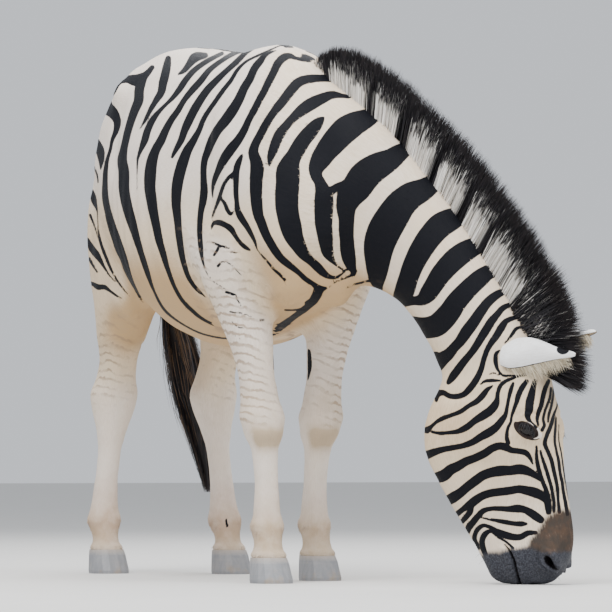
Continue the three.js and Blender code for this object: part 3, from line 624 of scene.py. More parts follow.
def body_relief(points, labels):
    rise = np.zeros(len(points))
    mirrored = points * vec(1, -1, 1)
    for a, b, reach, height in RELIEF:
        rise += height * bump(np.minimum(from_line(points, a, b), from_line(mirrored, a, b)), 0, reach)
    flank = (labels == TRUNK) * ramp(points[:, 0], -0.32, -0.18) * (1 - ramp(points[:, 0], 0.12, 0.24))
    ribs = np.sin((points[:, 0] + 0.25 * (points[:, 2] - 0.9)) * 105)
    rise += 0.0014 * ribs * flank * bump(points[:, 2], 0.88, 0.17)
    return rise


def leg_relief(points, labels):
    """Knees, hocks, sinews, fetlocks and coronets."""
    fore, left = leg_places(points, labels)
    z = points[:, 2]
    angle = np.arctan2(left, fore)
    front = np.isin(labels, FORE_LEGS)
    hind = np.isin(labels, HIND_LEGS)
    ahead, behind, beside = np.cos(angle), -np.cos(angle), np.abs(np.sin(angle))
    forward, rearward = np.clip(ahead, 0, 1), np.clip(behind, 0, 1)
    cannon = ramp(z, 0.13, 0.18)
    shank = cannon * (1 - ramp(z, 0.30, 0.34)) * front + cannon * (1 - ramp(z, 0.40, 0.44)) * hind
    rise = -0.0040 * shank * bump(angle, 2.35, 0.25) - 0.0040 * shank * bump(angle, -2.35, 0.25)
    rise += 0.003 * shank * rearward**4
    rise += front * 0.006 * bump(z, 0.385, 0.045) * forward**2
    rise += (
        front * 0.004 * bump(z, 0.365, 0.014) * ahead**2
        - front * 0.003 * bump(z, 0.385, 0.008) * ahead**2
    )
    rise += (
        front * 0.005 * bump(z, 0.405, 0.02) * beside**4
        + front * 0.008 * bump(z, 0.395, 0.022) * rearward**4
    )
    rise += front * -0.003 * bump(z, 0.33, 0.015) + front * -0.004 * bump(z, 0.45, 0.02) * forward**2
    rise += hind * 0.006 * bump(z, 0.47, 0.03) * beside**4 - hind * 0.008 * bump(z, 0.56, 0.06) * beside**2
    foot = (front | hind).astype(float)
    rise += foot * 0.004 * bump(z, 0.128, 0.018) * rearward**2
    rise += foot * 0.0015 * (bump(z, 0.142, 0.014) - bump(z, 0.162, 0.012)) * beside**2
    rise += foot * 0.0035 * bump(z, 0.070, 0.006) - foot * 0.003 * bump(z, 0.096, 0.012) * rearward
    return rise


# Rises and hollows of the head, on both sides: place (down, front, side), reach and height.
FACE_RELIEF = [
    ((0.186, 0.050, 0.092), (0.012, 0.020, 0.030), -0.006),
    ((0.178, 0.036, 0.104), (0.030, 0.014, 0.030), 0.007),
    ((0.262, 0.022, 0.094), (0.020, 0.012, 0.030), -0.005),
    ((0.150, 0.044, 0.080), (0.026, 0.018, 0.030), -0.007),
    ((0.300, 0.045, 0.070), (0.050, 0.022, 0.030), -0.006),
    ((0.400, 0.030, 0.060), (0.070, 0.026, 0.030), -0.005),
    ((0.430, -0.080, 0.060), (0.070, 0.020, 0.030), -0.004),
    ((0.185, -0.020, 0.100), (0.012, 0.050, 0.030), -0.003),
    ((0.130, -0.150, 0.085), (0.012, 0.060, 0.040), -0.005),
    ((0.300, -0.110, 0.085), (0.020, 0.060, 0.030), -0.006),
    ((0.500, 0.070, 0.052), (0.030, 0.020, 0.026), 0.004),
    ((0.470, -0.130, 0.030), (0.030, 0.020, 0.030), -0.006),
]
NOSTRIL = vec(0.541, 0.061)
NOSTRIL_SLANT = vec(0.866, 0.5)
# The line between the lips: how far down the head and how far in front.
LIPS = [(0.470, -0.068), (0.493, -0.052), (0.510, -0.040), (0.534, -0.031), (0.570, -0.028), (0.61, -0.026)]
MOUTH_FROM = 0.490


def mouth_line(down):
    return np.interp(down, *np.array(LIPS).T)


def nostril_place(down, front):
    off = np.stack([down, front], -1) - NOSTRIL
    return off @ NOSTRIL_SLANT, off @ vec(-NOSTRIL_SLANT[1], NOSTRIL_SLANT[0])


def nostril_ring(along, across):
    """Nought in the middle of the nostril, one on its edge."""
    return np.sqrt((along / 0.021) ** 2 + (across / (0.0085 - 0.0025 * np.sin(along * 80))) ** 2)


def face_relief(points, labels):
    down, front, side = head_place(points)
    side = np.abs(side)
    head = (labels == HEAD).astype(float)
    rise = np.zeros(len(points))
    for (d, f, s), (rd, rf, rs), height in FACE_RELIEF:
        rise += height * bump(down, d, rd) * bump(front, f, rf) * bump(side, s, rs)
    crest = from_line(np.stack([down, front, side], 1), (0.235, -0.008, 0.098), (0.375, -0.002, 0.066))
    rise += 0.006 * bump(crest, 0, 0.010)
    vein = from_line(np.stack([down, front, side], 1), (0.30, -0.05, 0.08), (0.45, 0.03, 0.055))
    rise += 0.0018 * bump(vein, 0, 0.005)
    outer = ramp(side, 0.018, 0.032)
    along, across = nostril_place(down, front)
    hole = nostril_ring(along, across)
    rise += outer * (0.005 * bump(hole, 1.55, 0.40) - 0.026 * (1 - ramp(hole, 0.45, 1.1)))
    inner = ramp(-across, -0.004, 0.006)
    rise += outer * (0.0035 * bump(hole, 2.8, 0.5) - 0.003 * bump(hole, 2.25, 0.3)) * inner
    mouth = (down > MOUTH_FROM) * ramp(down, MOUTH_FROM, MOUTH_FROM + 0.012)
    away = front - mouth_line(down)
    lip = 0.004 * bump(away, 0.014, 0.010) + 0.003 * bump(away, -0.014, 0.010)
    rise += mouth * (lip - 0.010 * bump(away, 0, 0.0035))
    lips = ramp(down, 0.48, 0.54)
    rise += lips * 0.0009 * np.sin(down * 520 + np.sin(front * 160) * 1.5) * bump(front, -0.02, 0.07)
    eye = np.sqrt((down - EYE[0]) ** 2 + (front - EYE[1]) ** 2)
    above = ramp(-(down - EYE[0]) * 0.3 + front - EYE[1], -0.02, 0.02)
    for ring, size in ((0.036, 0.0024), (0.044, -0.0018), (0.052, 0.0014)):
        rise += size * bump(eye, ring, 0.0035) * above * ramp(side, 0.06, 0.08)
    return rise * head


# The eye's opening is an almond on the ball: half length, half height, and the way its long axis runs.
OPENING = vec(0.0228, 0.0135)
OPENING_AXIS = unit(vec(0.55, 0.835))


def at_opening(along, across):
    """How far down and in front of the head a place along and across the eye's opening is."""
    down = EYE[0] + along * OPENING_AXIS[0] - across * OPENING_AXIS[1]
    return down, EYE[1] + along * OPENING_AXIS[1] + across * OPENING_AXIS[0]


def eye_place(points, side):
    """Each point seen from an eye: along its opening, across it, and outwards from the head."""
    down, front, left = head_place(points)
    d, f = down - EYE[0], front - EYE[1]
    along = d * OPENING_AXIS[0] + f * OPENING_AXIS[1]
    across = -d * OPENING_AXIS[1] + f * OPENING_AXIS[0]
    return along, across, left * side - EYE[2]


def open_eyes(points, labels):
    """Lays the skin round the eyes over the balls, and sinks it behind them inside the openings."""
    for side in (-1, 1):
        along, across, out = eye_place(points, side)
        flat = np.sqrt((along / OPENING[0]) ** 2 + (across / OPENING[1]) ** 2)
        near = (np.hypot(along, across) < 0.042) & (out > -0.045) & (labels == HEAD)
        reach = np.hypot(along, across)
        ball = np.sqrt(np.maximum((EYE_RADIUS + 0.0022) ** 2 - reach**2, 0))
        target = np.where(flat > 0.95, np.maximum(out, ball), ball - 0.010)
        weight = near * (1 - ramp(reach, 0.030, 0.042))
        points = points + ((target - out) * weight * side)[:, None] * SIDE
    return points


# Pixels to a metre across the dark lines along the back and the belly.
LINE_PIXELS = 260
# The value where no mark may reach, on the legs.
CLEAR = -8


def marks_on(points, normals, labels):
    """How deep each point lies in a dark mark, in pixels of the picture."""
    flank, face, leg = Sheet(FLANK_MARKS + CHEST_MARKS), Sheet(FACE_MARKS), Sheet(LEG_MARKS)
    toward = unit(TOWARDS)
    facing = normals @ toward
    flip = np.where(points[:, 1:2] > 0, vec(1, -1, 1), vec(1, 1, 1))
    turned = (normals * flip) @ toward
    over_trunk = points * flip
    trunk, head = labels == TRUNK, labels == HEAD
    x_place, height = points[:, 0], points[:, 2]
    share = along_neck(points)
    centre, _, side, _, _ = neck_axes(share)
    lateral = ((points - centre) * side).sum(1)
    over_neck = points - 2 * np.maximum(lateral, 0)[:, None] * side
    _, _, left = head_place(points)
    over_head = points - 2 * np.maximum(left, 0)[:, None] * SIDE
    body = np.isin(labels, (TRUNK, *HIND_LEGS)) & (height > 0.45)
    low_down = np.isin(labels, LEG_PARTS) * ramp(-height, -0.72, -0.62)
    rows = np.arange(60, 460, 4)

    def looked_up(places, round_the_rump):
        x, y = in_picture(places)
        if round_the_rump:
            first = np.array([np.min(x[body & (np.abs(y - row) < 4)], initial=200) for row in rows])
            rear = ramp(-turned, -0.10, 0.12) * ramp(-x_place, 0.42, 0.60) * body
            x = x * (1 - rear) + (np.interp(y, rows, first) + 1.5) * rear
        on_flank, on_leg, on_face = flank.at(x, y), leg.at(x, y), face.at(x, y)
        depth = on_flank * (1 - low_down) + np.maximum(on_leg, CLEAR) * low_down
        depth = np.where(labels == FORE_LEGS[0], np.maximum(depth, on_leg), depth)
        depth = np.where(head, np.maximum(on_face, on_flank), depth)
        return np.where((labels == NECK_PART) & (facing > 0), np.maximum(depth, on_face), depth)

    def middle_line(half_width, where):
        return (half_width - np.abs(points[:, 1])) * LINE_PIXELS * where - 16 * (1 - where)

    front_half = np.isin(labels, (TRUNK, NECK_PART, *FORE_LEGS))
    by_neck = ramp(share, 0.14, 0.30) * ramp(x_place, 0.42, 0.54) * front_half
    up_neck = np.where(np.isin(labels, (TRUNK, NECK_PART)), ramp(share, 0.14, 0.30), 1.0)
    gentle = ramp(facing, 0.0, 0.10) * (1 - up_neck) + ramp(facing, 0.05, 0.30) * up_neck
    seen = np.where(head, ramp(facing, 0.0, 0.10), gentle)
    seen = seen * np.where(np.isin(labels, (TRUNK, NECK_PART)), ramp(x_place, 0.44, 0.52), 1.0)
    hidden = looked_up(over_trunk, True) * (1 - by_neck) + looked_up(over_neck, False) * by_neck
    hidden = np.where(head, looked_up(over_head, False), hidden)
    hidden = np.where(np.isin(labels, LEG_PARTS) & (height < 0.30), CLEAR, hidden)
    depth = looked_up(points, False) * seen + hidden * (1 - seen)
    back_line = trunk * (height > 1.2)
    depth = np.maximum(depth, middle_line(0.012, back_line))
    belly_line = trunk * (height < 0.72) * (normals[:, 2] < -0.5)
    return np.maximum(depth, middle_line(0.014, belly_line))


def slope_along(points, quads, values, way):
    """How fast values rise along the way at each point."""
    a, b = neighbours(quads).T
    gap, change = points[b] - points[a], values[b] - values[a]
    run, rise = np.zeros(len(points)), np.zeros(len(points))
    for here in (a, b):
        step = (gap * way[here]).sum(1)
        run += np.bincount(here, step * step, len(points))
        rise += np.bincount(here, step * change, len(points))
    return rise / np.maximum(run, 1e-9)


def tones_on(points, normals, labels):
    """Shares of the tones laid over the coat's pale and black: its warm buff, with painted underside shade on
    down-facing skin, dark snout, brown bridge, dust, bare rim of the eye, painted shade in nostrils and lip
    line, bands of the legs and pink skin."""
    down, front, side = head_place(points)
    z = points[:, 2]
    head = labels == HEAD
    legs = np.isin(labels, LEG_PARTS)
    fore_leg, hind = np.isin(labels, FORE_LEGS), np.isin(labels, HIND_LEGS)
    # Down-facing skin gets more of the warm tone: painted underside shade, laid over the coat's own buff.
    under = ramp(-normals[:, 2], 0.15, 0.9)
    rump = ramp(-points[:, 0], 0.30, 0.65) * ramp(-z, -1.15, -0.80)
    tan_and_shade = np.where(labels == TRUNK, 0.08 + ramp(-z, -1.04, -0.66) * 0.95 + under * 0.3 + rump * 0.25, 0.0)
    tan_and_shade = np.where(head, 0.35 + 0.3 * bump(down, 0.2, 0.1), tan_and_shade)
    tan_and_shade = np.where(labels == NECK_PART, 0.30, tan_and_shade)
    on_legs = 0.9 * ramp(z, 0.50, 0.68) * under + 0.12 + 0.45 * ramp(z, 0.40, 0.62) * hind
    tan_and_shade = np.where(legs, on_legs, tan_and_shade)
    snout = head * ramp(down - 0.10 * np.maximum(-front, 0) - 0.016 * ramp(front, 0, 0.05), 0.482, 0.520)
    bridge = head * ramp(down + 1.29 * front, 0.473, 0.533) * ramp(down, 0.400, 0.432)
    hole = nostril_ring(*nostril_place(down, front))
    # Painted shade: the insides of the nostrils and the line between the lips are coloured near black.
    hollow_shade = head * (np.abs(side) > 0.018) * (1 - ramp(hole, 0.75, 1.15))
    between = (down > MOUTH_FROM) * bump(front - mouth_line(down), 0, 0.0030)
    hollow_shade = np.maximum(hollow_shade, head * between * 0.9)
    dust = np.where(legs, bump(z, 0.11, 0.06) * 0.6 + ramp(-z, -0.3, -0.1) * 0.25, 0.0)
    knee = 1.5 * bump(z, 0.350, 0.026) * ramp(normals[:, 0], 0.2, 0.8)
    dust = dust + fore_leg * (knee + 0.4 * bump(z, 0.43, 0.07))
    bands = np.where(fore_leg, ramp(z, 0.36, 0.41) * (1 - 0.5 * ramp(z, 0.62, 0.74)), 0.0)
    outer = normals[:, 1] * np.where(np.isin(labels, RIGHT_LEGS), -1, 1)
    on_hind = 0.7 * ramp(z, 0.40, 0.50) * (1 - ramp(z, 0.60, 0.72))
    bands = np.where(hind, on_hind, bands)
    bands = bands * (0.25 + 0.75 * ramp(outer, -0.4, 0.5))
    pink = legs * (bump(z, 0.115, 0.035) + 0.4 * bump(z, 0.19, 0.05)) * np.where(hind, 1.0, 0.5)
    along, across, _ = eye_place(points, 1)
    eye = np.hypot(along / OPENING[0], across / OPENING[1]) + 0.30 * ramp(across, 0.0, 0.006)
    rim = head * (1 - ramp(eye, 1.42, 1.72)) * (np.abs(side) > 0.05)
    tones = {"tan_and_shade": tan_and_shade, "snout": snout, "bridge": bridge, "dust": dust, "rim": rim}
    return {**tones, "hollow_shade": hollow_shade, "bands": bands, "pink": pink}


# The corner of each part's chart in the map, and the charts' scale; the legs' stand in a row.
CHARTS = {TRUNK: (0.02, 0.02), NECK_PART: (0.62, 0.02), HEAD: (0.62, 0.36), TAIL_PART: (0.90, 0.70)}
CHART_SCALE = 0.24


def unwrap(points, labels):
    """Every point's place on a flat pattern of the skin: along its part, round it and the part's corner."""
    along, round_, first = np.zeros(len(points)), np.zeros(len(points)), np.zeros((len(points), 2))
    share = along_neck(points)
    centre, _, side, up, _ = neck_axes(share)
    off = points - centre
    down, front, left = head_place(points)
    fore, beside = leg_places(points, labels)
    trunk_angle = np.arctan2(points[:, 1], 0.95 - points[:, 2])
    for number in range(len(FLESH)):
        mine = labels == number
        if number == TRUNK:
            along[mine], round_[mine] = points[mine, 0] + 0.8, trunk_angle[mine] * 0.30 + 0.95
        elif number == NECK_PART:
            angle = np.arctan2((off * side).sum(1), -(off * up).sum(1))
            along[mine], round_[mine] = share[mine] * 0.85, angle[mine] * 0.14 + 0.45
        elif number == HEAD:
            angle = np.arctan2(left, -front - 0.08)
            along[mine], round_[mine] = down[mine] + 0.1, angle[mine] * 0.10 + 0.32
        elif number == TAIL_PART:
            angle = np.arctan2(points[mine, 1] - 0.03, -points[mine, 0] - 0.77)
            along[mine], round_[mine] = 1.2 - points[mine, 2], angle * 0.03 + 0.1
        else:
            angle = np.arctan2(beside, -fore)
            along[mine], round_[mine] = 1.1 - points[mine, 2], angle[mine] * 0.07 + 0.25
        first[mine] = CHARTS.get(number, (0.02 + 0.15 * (number - LEG_PARTS[0]), 0.58))
    return along, round_, first


# The way the hair lies on the trunk and legs.
LIE = {TRUNK: vec(-1, 0, -0.35)}
LIE.update({number: vec(-0.05, 0, -1) for number in FORE_LEGS})
LIE.update({number: vec(-0.1, 0, -1) for number in HIND_LEGS})


def lie_of(points, normals, labels):
    """The way the hair lies at each point."""
    way = np.tile(vec(-0.3, 0, -1), (len(points), 1))
    for number, direction in LIE.items():
        way[labels == number] = direction
    _, ahead, _, up, _ = neck_axes(along_neck(points))
    neck = labels == NECK_PART
    way[neck] = (-ahead * 0.8 - up * 0.35)[neck]
    chest = (labels == TRUNK) & (points[:, 0] > 0.45)
    way[chest] = vec(-0.3, 0, -1)
    head = labels == HEAD
    down, front, _ = head_place(points)
    jaw = ramp(-front, -0.02, 0.12)
    way[head] = (DOWN * (0.35 + 0.5 * jaw[:, None]) - FRONT * (0.9 - 0.2 * jaw[:, None]))[head]
    snout = ramp(down, 0.44, 0.52)[:, None]
    way = np.where(head[:, None], way * (1 - snout) + (DOWN * 0.9 - FRONT * 0.3) * snout, way)
    way = way - (way * normals).sum(1, keepdims=True) * normals
    return unit(way)


# How many faces are split again because a mark on them is thinner than they are.
FINE_MARKS = 2500
# How far round the eye and the nostril, and to each side of the mouth, the faces are split again.
FINE_EYE, FINE_NOSTRIL, FINE_MOUTH = 0.043, 0.039, 0.020
# The steepest rise of the marks along a tuft, in pixels to a metre.
STEEPEST = 600


def bent_marks(points, quads, labels):
    """How far the marks in the middle of each face are from what its corners make of them."""
    normals = normals_of(points, quads)
    at_corners = marks_on(points, normals, labels)
    at_middles = marks_on(points[quads].mean(1), unit(normals[quads].mean(1)), labels[quads[:, 0]])
    return np.abs(at_middles - at_corners[quads].mean(1)) * (np.abs(at_middles) < 4)


def tucked_in(points, labels):
    """Draws the end of each leg together inside the top of its hoof."""
    points = points.copy()
    z = points[:, 2].copy()
    for number in LEG_PARTS:
        mine = labels == number
        middle = points[mine & (np.abs(z - 0.067) < 0.006), :2].mean(0)
        inside = mine * ramp(-z, -0.0620, -0.0560) * (0.22 + 0.70 * ramp(-z, -0.055, -0.010))
        points[:, :2] += (middle - points[:, :2]) * inside[:, None]
        points[:, 2] = np.where(inside > 0, np.maximum(points[:, 2], 0.045), points[:, 2])
    return points


class Skin:
    """The finished skin's points, faces and what is known at each point."""

    def __init__(self):
        points, quads, labels, volume, whole = flesh_surface()
        points = relax(points, neighbours(quads), 24, np.where(labels <= NECK_PART, 0.5, 0.0))
        gentle = np.where(labels == HEAD, 0.5, np.where(labels > HEAD, 0.3, 0.0))
        points = relax(points, neighbours(quads), 4, gentle)
        middle = points[quads].mean(1)
        lower_leg = (labels[quads[:, 0]] > HEAD) & (middle[:, 2] < 0.145)
        bare_head = (labels[quads[:, 0]] == HEAD) & (head_place(middle)[0] > 0)
        points, quads, labels = refine(points, quads, labels, bare_head | lower_leg)
        smooth = np.where(labels == HEAD, 0.5, np.where(labels == NECK_PART, 0.35, 0.25))
        points = relax(points, neighbours(quads), 3, smooth * (labels != TRUNK))
        middle = points[quads].mean(1)
        down, front, _ = head_place(middle)
        is_quad = quads[:, 2] != quads[:, 3]
        fine = np.hypot(down - EYE[0], front - EYE[1]) < FINE_EYE
        fine |= np.hypot(down - NOSTRIL[0], front - NOSTRIL[1]) < FINE_NOSTRIL
        fine |= (down > 0.48) & (np.abs(front - mouth_line(down)) < FINE_MOUTH)
        fine &= labels[quads[:, 0]] == HEAD
        fine[np.argsort(bent_marks(points, quads, labels) * is_quad)[-FINE_MARKS:]] = True
        chosen = is_quad & fine
        points, quads, labels = refine(points, quads, labels, chosen)
        points = relax(points, neighbours(quads), 2, np.where(labels == HEAD, 0.4, 0.0))
        points = settle(points, quads, labels, volume, whole)
        normals = normals_of(points, quads)
        rise = body_relief(points, labels) + leg_relief(points, labels) + face_relief(points, labels)
        points = points + rise[:, None] * normals
        points = open_eyes(points, labels)
        points = tucked_in(points, labels)
        points[:, 2] = np.maximum(points[:, 2], FLOOR_GAP)
        self.points, self.quads, self.labels = points, quads, labels
        self.normals = normals_of(points, quads)
        self.marks = marks_on(points, self.normals, labels)
        self.tones = tones_on(points, self.normals, labels)
        blended = ("tan_and_shade", "bands")
        fields = np.column_stack([self.tones[name] for name in blended])
        fields = relax(fields, neighbours(quads), 40, np.where(labels == HEAD, 0.0, 0.5))
        self.tones.update(zip(blended, fields.T))
        self.along, self.round, self.chart = unwrap(points, labels)
        self.lie = lie_of(points, self.normals, labels)
        self.slope = np.clip(slope_along(points, quads, self.marks, self.lie), -STEEPEST, STEEPEST)


def mesh_object(name, points, faces, attributes=(), uv=None):
    """A smooth mesh in the frame. A face is four points, or three with the last one twice."""
    faces = np.asarray(faces)
    three = faces[:, 2] == faces[:, 3]
    keep = np.ones(faces.shape, bool)
    keep[three, 3] = False
    corner = faces[keep].astype(np.int32)
    starts = np.concatenate([[0], np.cumsum(np.where(three, 3, 4))[:-1]]).astype(np.int32)
    mesh = bpy.data.meshes.new(name)
    mesh.vertices.add(len(points))
    mesh.vertices.foreach_set("co", (points + SHIFT).astype(np.float32).ravel())
    mesh.loops.add(len(corner))
    mesh.loops.foreach_set("vertex_index", corner)
    mesh.polygons.add(len(faces))
    mesh.polygons.foreach_set("loop_start", starts)
    mesh.update(calc_edges=True)
    for label, kind, values in attributes:
        made = mesh.attributes.new(label, kind, "POINT")
        field = "vector" if kind == "FLOAT_VECTOR" else "value"
        made.data.foreach_set(field, np.ascontiguousarray(values, dtype=np.float32).ravel())
    if uv is not None:
        layer = mesh.uv_layers.new(name="OFBake")
        layer.data.foreach_set("uv", np.ascontiguousarray(uv[corner], dtype=np.float32).ravel())
    mesh.polygons.foreach_set("use_smooth", np.ones(len(faces), bool))
    mesh.update()
    made = bpy.data.objects.new(name, mesh)
    bpy.context.scene.collection.objects.link(made)
    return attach(made, "root")


# ---------------------------------------------------------------- shaders
class Wire:
    """A shader's socket, which can be used in ordinary sums."""

    def __init__(self, shader, socket):
        self.shader, self.socket = shader, socket

    def sum(self, operation, *others):
        return self.shader.node("ShaderNodeMath", {"operation": operation}, dict(enumerate([self, *others])))

    def __add__(self, other):
        return self.sum("ADD", other)

    def __sub__(self, other):
        return self.sum("SUBTRACT", other)

    def __mul__(self, other):
        return self.sum("MULTIPLY", other)

    def __rsub__(self, other):
        return self.shader.number(other) - self

    __radd__ = __add__
    __rmul__ = __mul__

    def larger(self, other):
        return self.sum("MAXIMUM", other)

    def clamp(self):
        return self.sum("MAXIMUM", 0).sum("MINIMUM", 1)

    def wave(self):
        return self.sum("SINE")

    def ramp(self, low, high):
        settings = {"interpolation_type": "SMOOTHSTEP"}
        return self.shader.node("ShaderNodeMapRange", settings, {0: self, 1: low, 2: high, 3: 0, 4: 1})


class Shader:
    """One material, built node by node."""

    def __init__(self, name):
        self.material = bpy.data.materials.new(name)
        self.material.use_nodes = True
        self.tree = self.material.node_tree
        self.tree.nodes.clear()

    def node(self, kind, settings=None, sockets=None, output=0):
        made = self.tree.nodes.new(kind)
        for key, value in (settings or {}).items():
            setattr(made, key, value)
        for key, value in (sockets or {}).items():
            if isinstance(value, Wire):
                self.tree.links.new(value.socket, made.inputs[key])
            elif value is not None:
                made.inputs[key].default_value = value
        return Wire(self, made.outputs[output])

    def number(self, value):
        made = self.node("ShaderNodeValue")
        made.socket.default_value = value
        return made

    def attribute(self, name, output="Fac"):
        return self.node("ShaderNodeAttribute", {"attribute_name": name}, output=output)

    def place(self):
        return self.node("ShaderNodeTexCoord", output="Object")

    def axis(self, vector, number):
        return self.node("ShaderNodeSeparateXYZ", None, {0: vector}, output=number)

    def stretched(self, vector, x, y, z):
        return self.node("ShaderNodeVectorMath", {"operation": "MULTIPLY"}, {0: vector, 1: (x, y, z)})

    def noise(self, vector, scale, detail):
        sockets = {"Vector": vector, "Scale": scale, "Detail": detail, "Roughness": 0.55}
        return self.node("ShaderNodeTexNoise", None, sockets)

    def mix(self, share, a, b):
        settings = {"data_type": "RGBA"}
        colour = [(*c, 1) if isinstance(c, tuple) else c for c in (a, b)]
        return self.node("ShaderNodeMix", settings, {0: share, 6: colour[0], 7: colour[1]}, output=2)

    def bump(self, height, strength, distance):
        sockets = {"Height": height, "Strength": strength, "Distance": distance}
        return self.node("ShaderNodeBump", None, sockets)

    def finish(self, **inputs):
        names = {key.replace("_", " "): value for key, value in inputs.items()}
        surface = self.node("ShaderNodeBsdfPrincipled", None, names)
        made = self.tree.nodes.new("ShaderNodeOutputMaterial")
        self.tree.links.new(surface.socket, made.inputs["Surface"])
        return self.material


PALE = (0.78, 0.705, 0.635)
# Bluish white of the outer ear: its pale hair with painted sky light from above.
SKY_LIT_WHITE = (0.88, 0.89, 0.90)
# CREAM and TAN_AND_SHADE are the coat's buff; on down-facing skin they also carry painted underside shade.
CREAM = (0.72, 0.58, 0.41)
TAN_AND_SHADE = (0.50, 0.33, 0.165)
BLACK = (0.0030, 0.0035, 0.0060)
SNOUT = (0.025, 0.026, 0.033)
BRIDGE = (0.040, 0.019, 0.012)
DUST = (0.42, 0.31, 0.19)
PINK = (0.50, 0.33, 0.27)


def coat_colour(shader):
    """The zebra's colours from what is known at each point: its marks and the share of each tone."""
    place = shader.place()
    nap = shader.attribute("nap", "Vector")
    streaks = shader.noise(shader.stretched(nap, 70, 620, 1), 1.0, 3)
    patches = shader.noise(place, 34, 4)
    broad = shader.noise(place, 6, 3)
    marks = shader.attribute("marks") + (streaks - 0.5) * 0.7 + (patches - 0.5) * 0.5
    dark = marks.ramp(-0.40, 0.40)
    # This share is the coat's buff plus painted underside shade on down-facing skin.
    tan_and_shade = (shader.attribute("tan_and_shade") + (broad - 0.5) * 0.35 + (streaks - 0.5) * 0.25).clamp()
    warm = shader.mix(tan_and_shade.ramp(0.45, 1.0), shader.mix(tan_and_shade.ramp(0.0, 0.5), PALE, CREAM), TAN_AND_SHADE)
    # The outer ear is mixed to a bluish white: its pale hair with painted sky light.
    warm = shader.mix(shader.attribute("white_and_sky_light"), warm, SKY_LIT_WHITE)
    grime = (streaks.ramp(0.25, 0.75) * 0.26 + patches.ramp(0.5, 0.8) * 0.12).clamp()
    pale = shader.mix(grime, warm, (0.42, 0.32, 0.23))
    ink = shader.mix(streaks.ramp(0.45, 0.8) * 0.22, BLACK, (0.015, 0.013, 0.014))
    colour = shader.mix(dark, pale, ink)
    left = shader.axis(place, 1)
    height = shader.axis(place, 2)
    rings = (height * 300 + left * 90 + (broad - 0.5) * 14 + (patches - 0.5) * 8).wave()
    bands = rings.ramp(0.2, 0.95) * (shader.attribute("bands") * 1.6 - patches.ramp(0.35, 0.65) * 0.8).clamp()
    colour = shader.mix(bands * 0.75, colour, (0.30, 0.21, 0.14))
    pink = (shader.attribute("pink") * (patches * 2.4 - 0.2)).clamp()
    colour = shader.mix(pink * (1 - dark) * 0.75, colour, PINK)
    dust = (shader.attribute("dust") * (0.4 + patches + (broad - 0.5) * 1.5)).clamp()
    colour = shader.mix(dust * (1 - dark) * 0.8, colour, DUST)
    ragged = 1 + (streaks - 0.5) * 0.9 + (patches - 0.5) * 0.9
    bridge = (shader.attribute("bridge") * ragged).ramp(0.15, 0.85)
    brown = shader.mix(patches.ramp(0.35, 0.60), BRIDGE, (0.014, 0.010, 0.010))
    colour = shader.mix(bridge * 0.95, colour, brown)
    snout = (shader.attribute("snout") * ragged).ramp(0.15, 0.75)
    pores = shader.noise(place, 260, 3)
    speckle = (pores.ramp(0.35, 0.75) * 0.5 + broad.ramp(0.35, 0.65) * 0.3).clamp()
    grey = shader.mix(speckle, SNOUT, (0.105, 0.110, 0.130))
    colour = shader.mix(snout, colour, grey)
    rim = (shader.attribute("rim") + (patches - 0.5) * 0.2).ramp(0.3, 0.7)
    colour = shader.mix(rim, colour, (0.018, 0.012, 0.011))
    # Painted shade: near black in the nostrils and along the line between the lips.
    hollow_shade = shader.attribute("hollow_shade").ramp(0.25, 0.75)
    return shader.mix(hollow_shade, colour, (0.004, 0.003, 0.004)), snout, rim, streaks, dark


def skin_material():
    shader = Shader("zebra skin")
    colour, snout, rim, streaks, dark = coat_colour(shader)
    place = shader.place()
    nap = shader.attribute("nap", "Vector")
    strands = shader.noise(shader.stretched(nap, 110, 1500, 1), 1.0, 2)
    locks = shader.noise(shader.stretched(nap, 28, 190, 1), 1.0, 4)
    pores = shader.noise(place, 420, 3)
    creases = shader.noise(shader.stretched(place, 1, 1, 2.2), 62, 4)
    fur = shader.bump(strands * 0.5 + locks * 0.5, 0.60, 0.0016)
    bare = shader.bump(pores * 0.45 + creases * 0.55, 0.45, 0.0012)
    sockets = {0: snout.larger(rim), 4: fur, 5: bare}
    normal = shader.node("ShaderNodeMix", {"data_type": "VECTOR"}, sockets, output=1)
    rough = 0.74 - dark * 0.10 - snout * 0.20 - rim * 0.34 + (streaks - 0.5) * 0.12
    return shader.finish(Base_Color=colour, Roughness=rough, Normal=normal, Specular_IOR_Level=0.12)


def hair_material(name, tip_dark, light=(0.90, 0.88, 0.84), shadow=(0.66, 0.62, 0.57)):
    """Long hair: each blade carries its own shade and how far along it each point is."""
    shader = Shader(name)
    along, shade, marks = shader.attribute("along"), shader.attribute("shade"), shader.attribute("marks")
    dark = marks.ramp(-0.5, 0.5).larger((along + (shade - 0.5) * 0.22).ramp(tip_dark - 0.04, tip_dark + 0.05))
    pale = shader.mix(shade, light, shadow)
    pale = shader.mix((1 - along).ramp(0.75, 1.0) * 0.25, pale, (0.66, 0.55, 0.42))
    ink = shader.mix(shade, (0.004, 0.004, 0.006), (0.020, 0.018, 0.022))
    bleached = shader.attribute("brown").larger(along.ramp(0.8, 1.0) * shade * 0.15)
    brown = shader.mix(bleached, ink, (0.150, 0.092, 0.055))
    fibre = shader.noise(shader.stretched(shader.place(), 900, 900, 60), 1.0, 2)
    normal = shader.bump(fibre, 0.3, 0.0008)
    return shader.finish(
        Base_Color=shader.mix(dark, pale, brown),
        Roughness=0.50 + shade * 0.2,
        Normal=normal,
        Specular_IOR_Level=0.30,
    )


def eye_material():
    shader = Shader("zebra eye")
    place = shader.place()
    fibres = shader.noise(shader.stretched(place, 1, 1, 3), 220, 4)
    uneven = shader.noise(place, 30, 1)
    colour = shader.mix(fibres.ramp(0.35, 0.8) * 0.6, (0.003, 0.002, 0.002), (0.014, 0.008, 0.006))
    normal = shader.bump(uneven, 0.04, 0.001)
    rough = 0.07 + fibres * 0.05
    return shader.finish(Base_Color=colour, Roughness=rough, Normal=normal, Specular_IOR_Level=0.32)


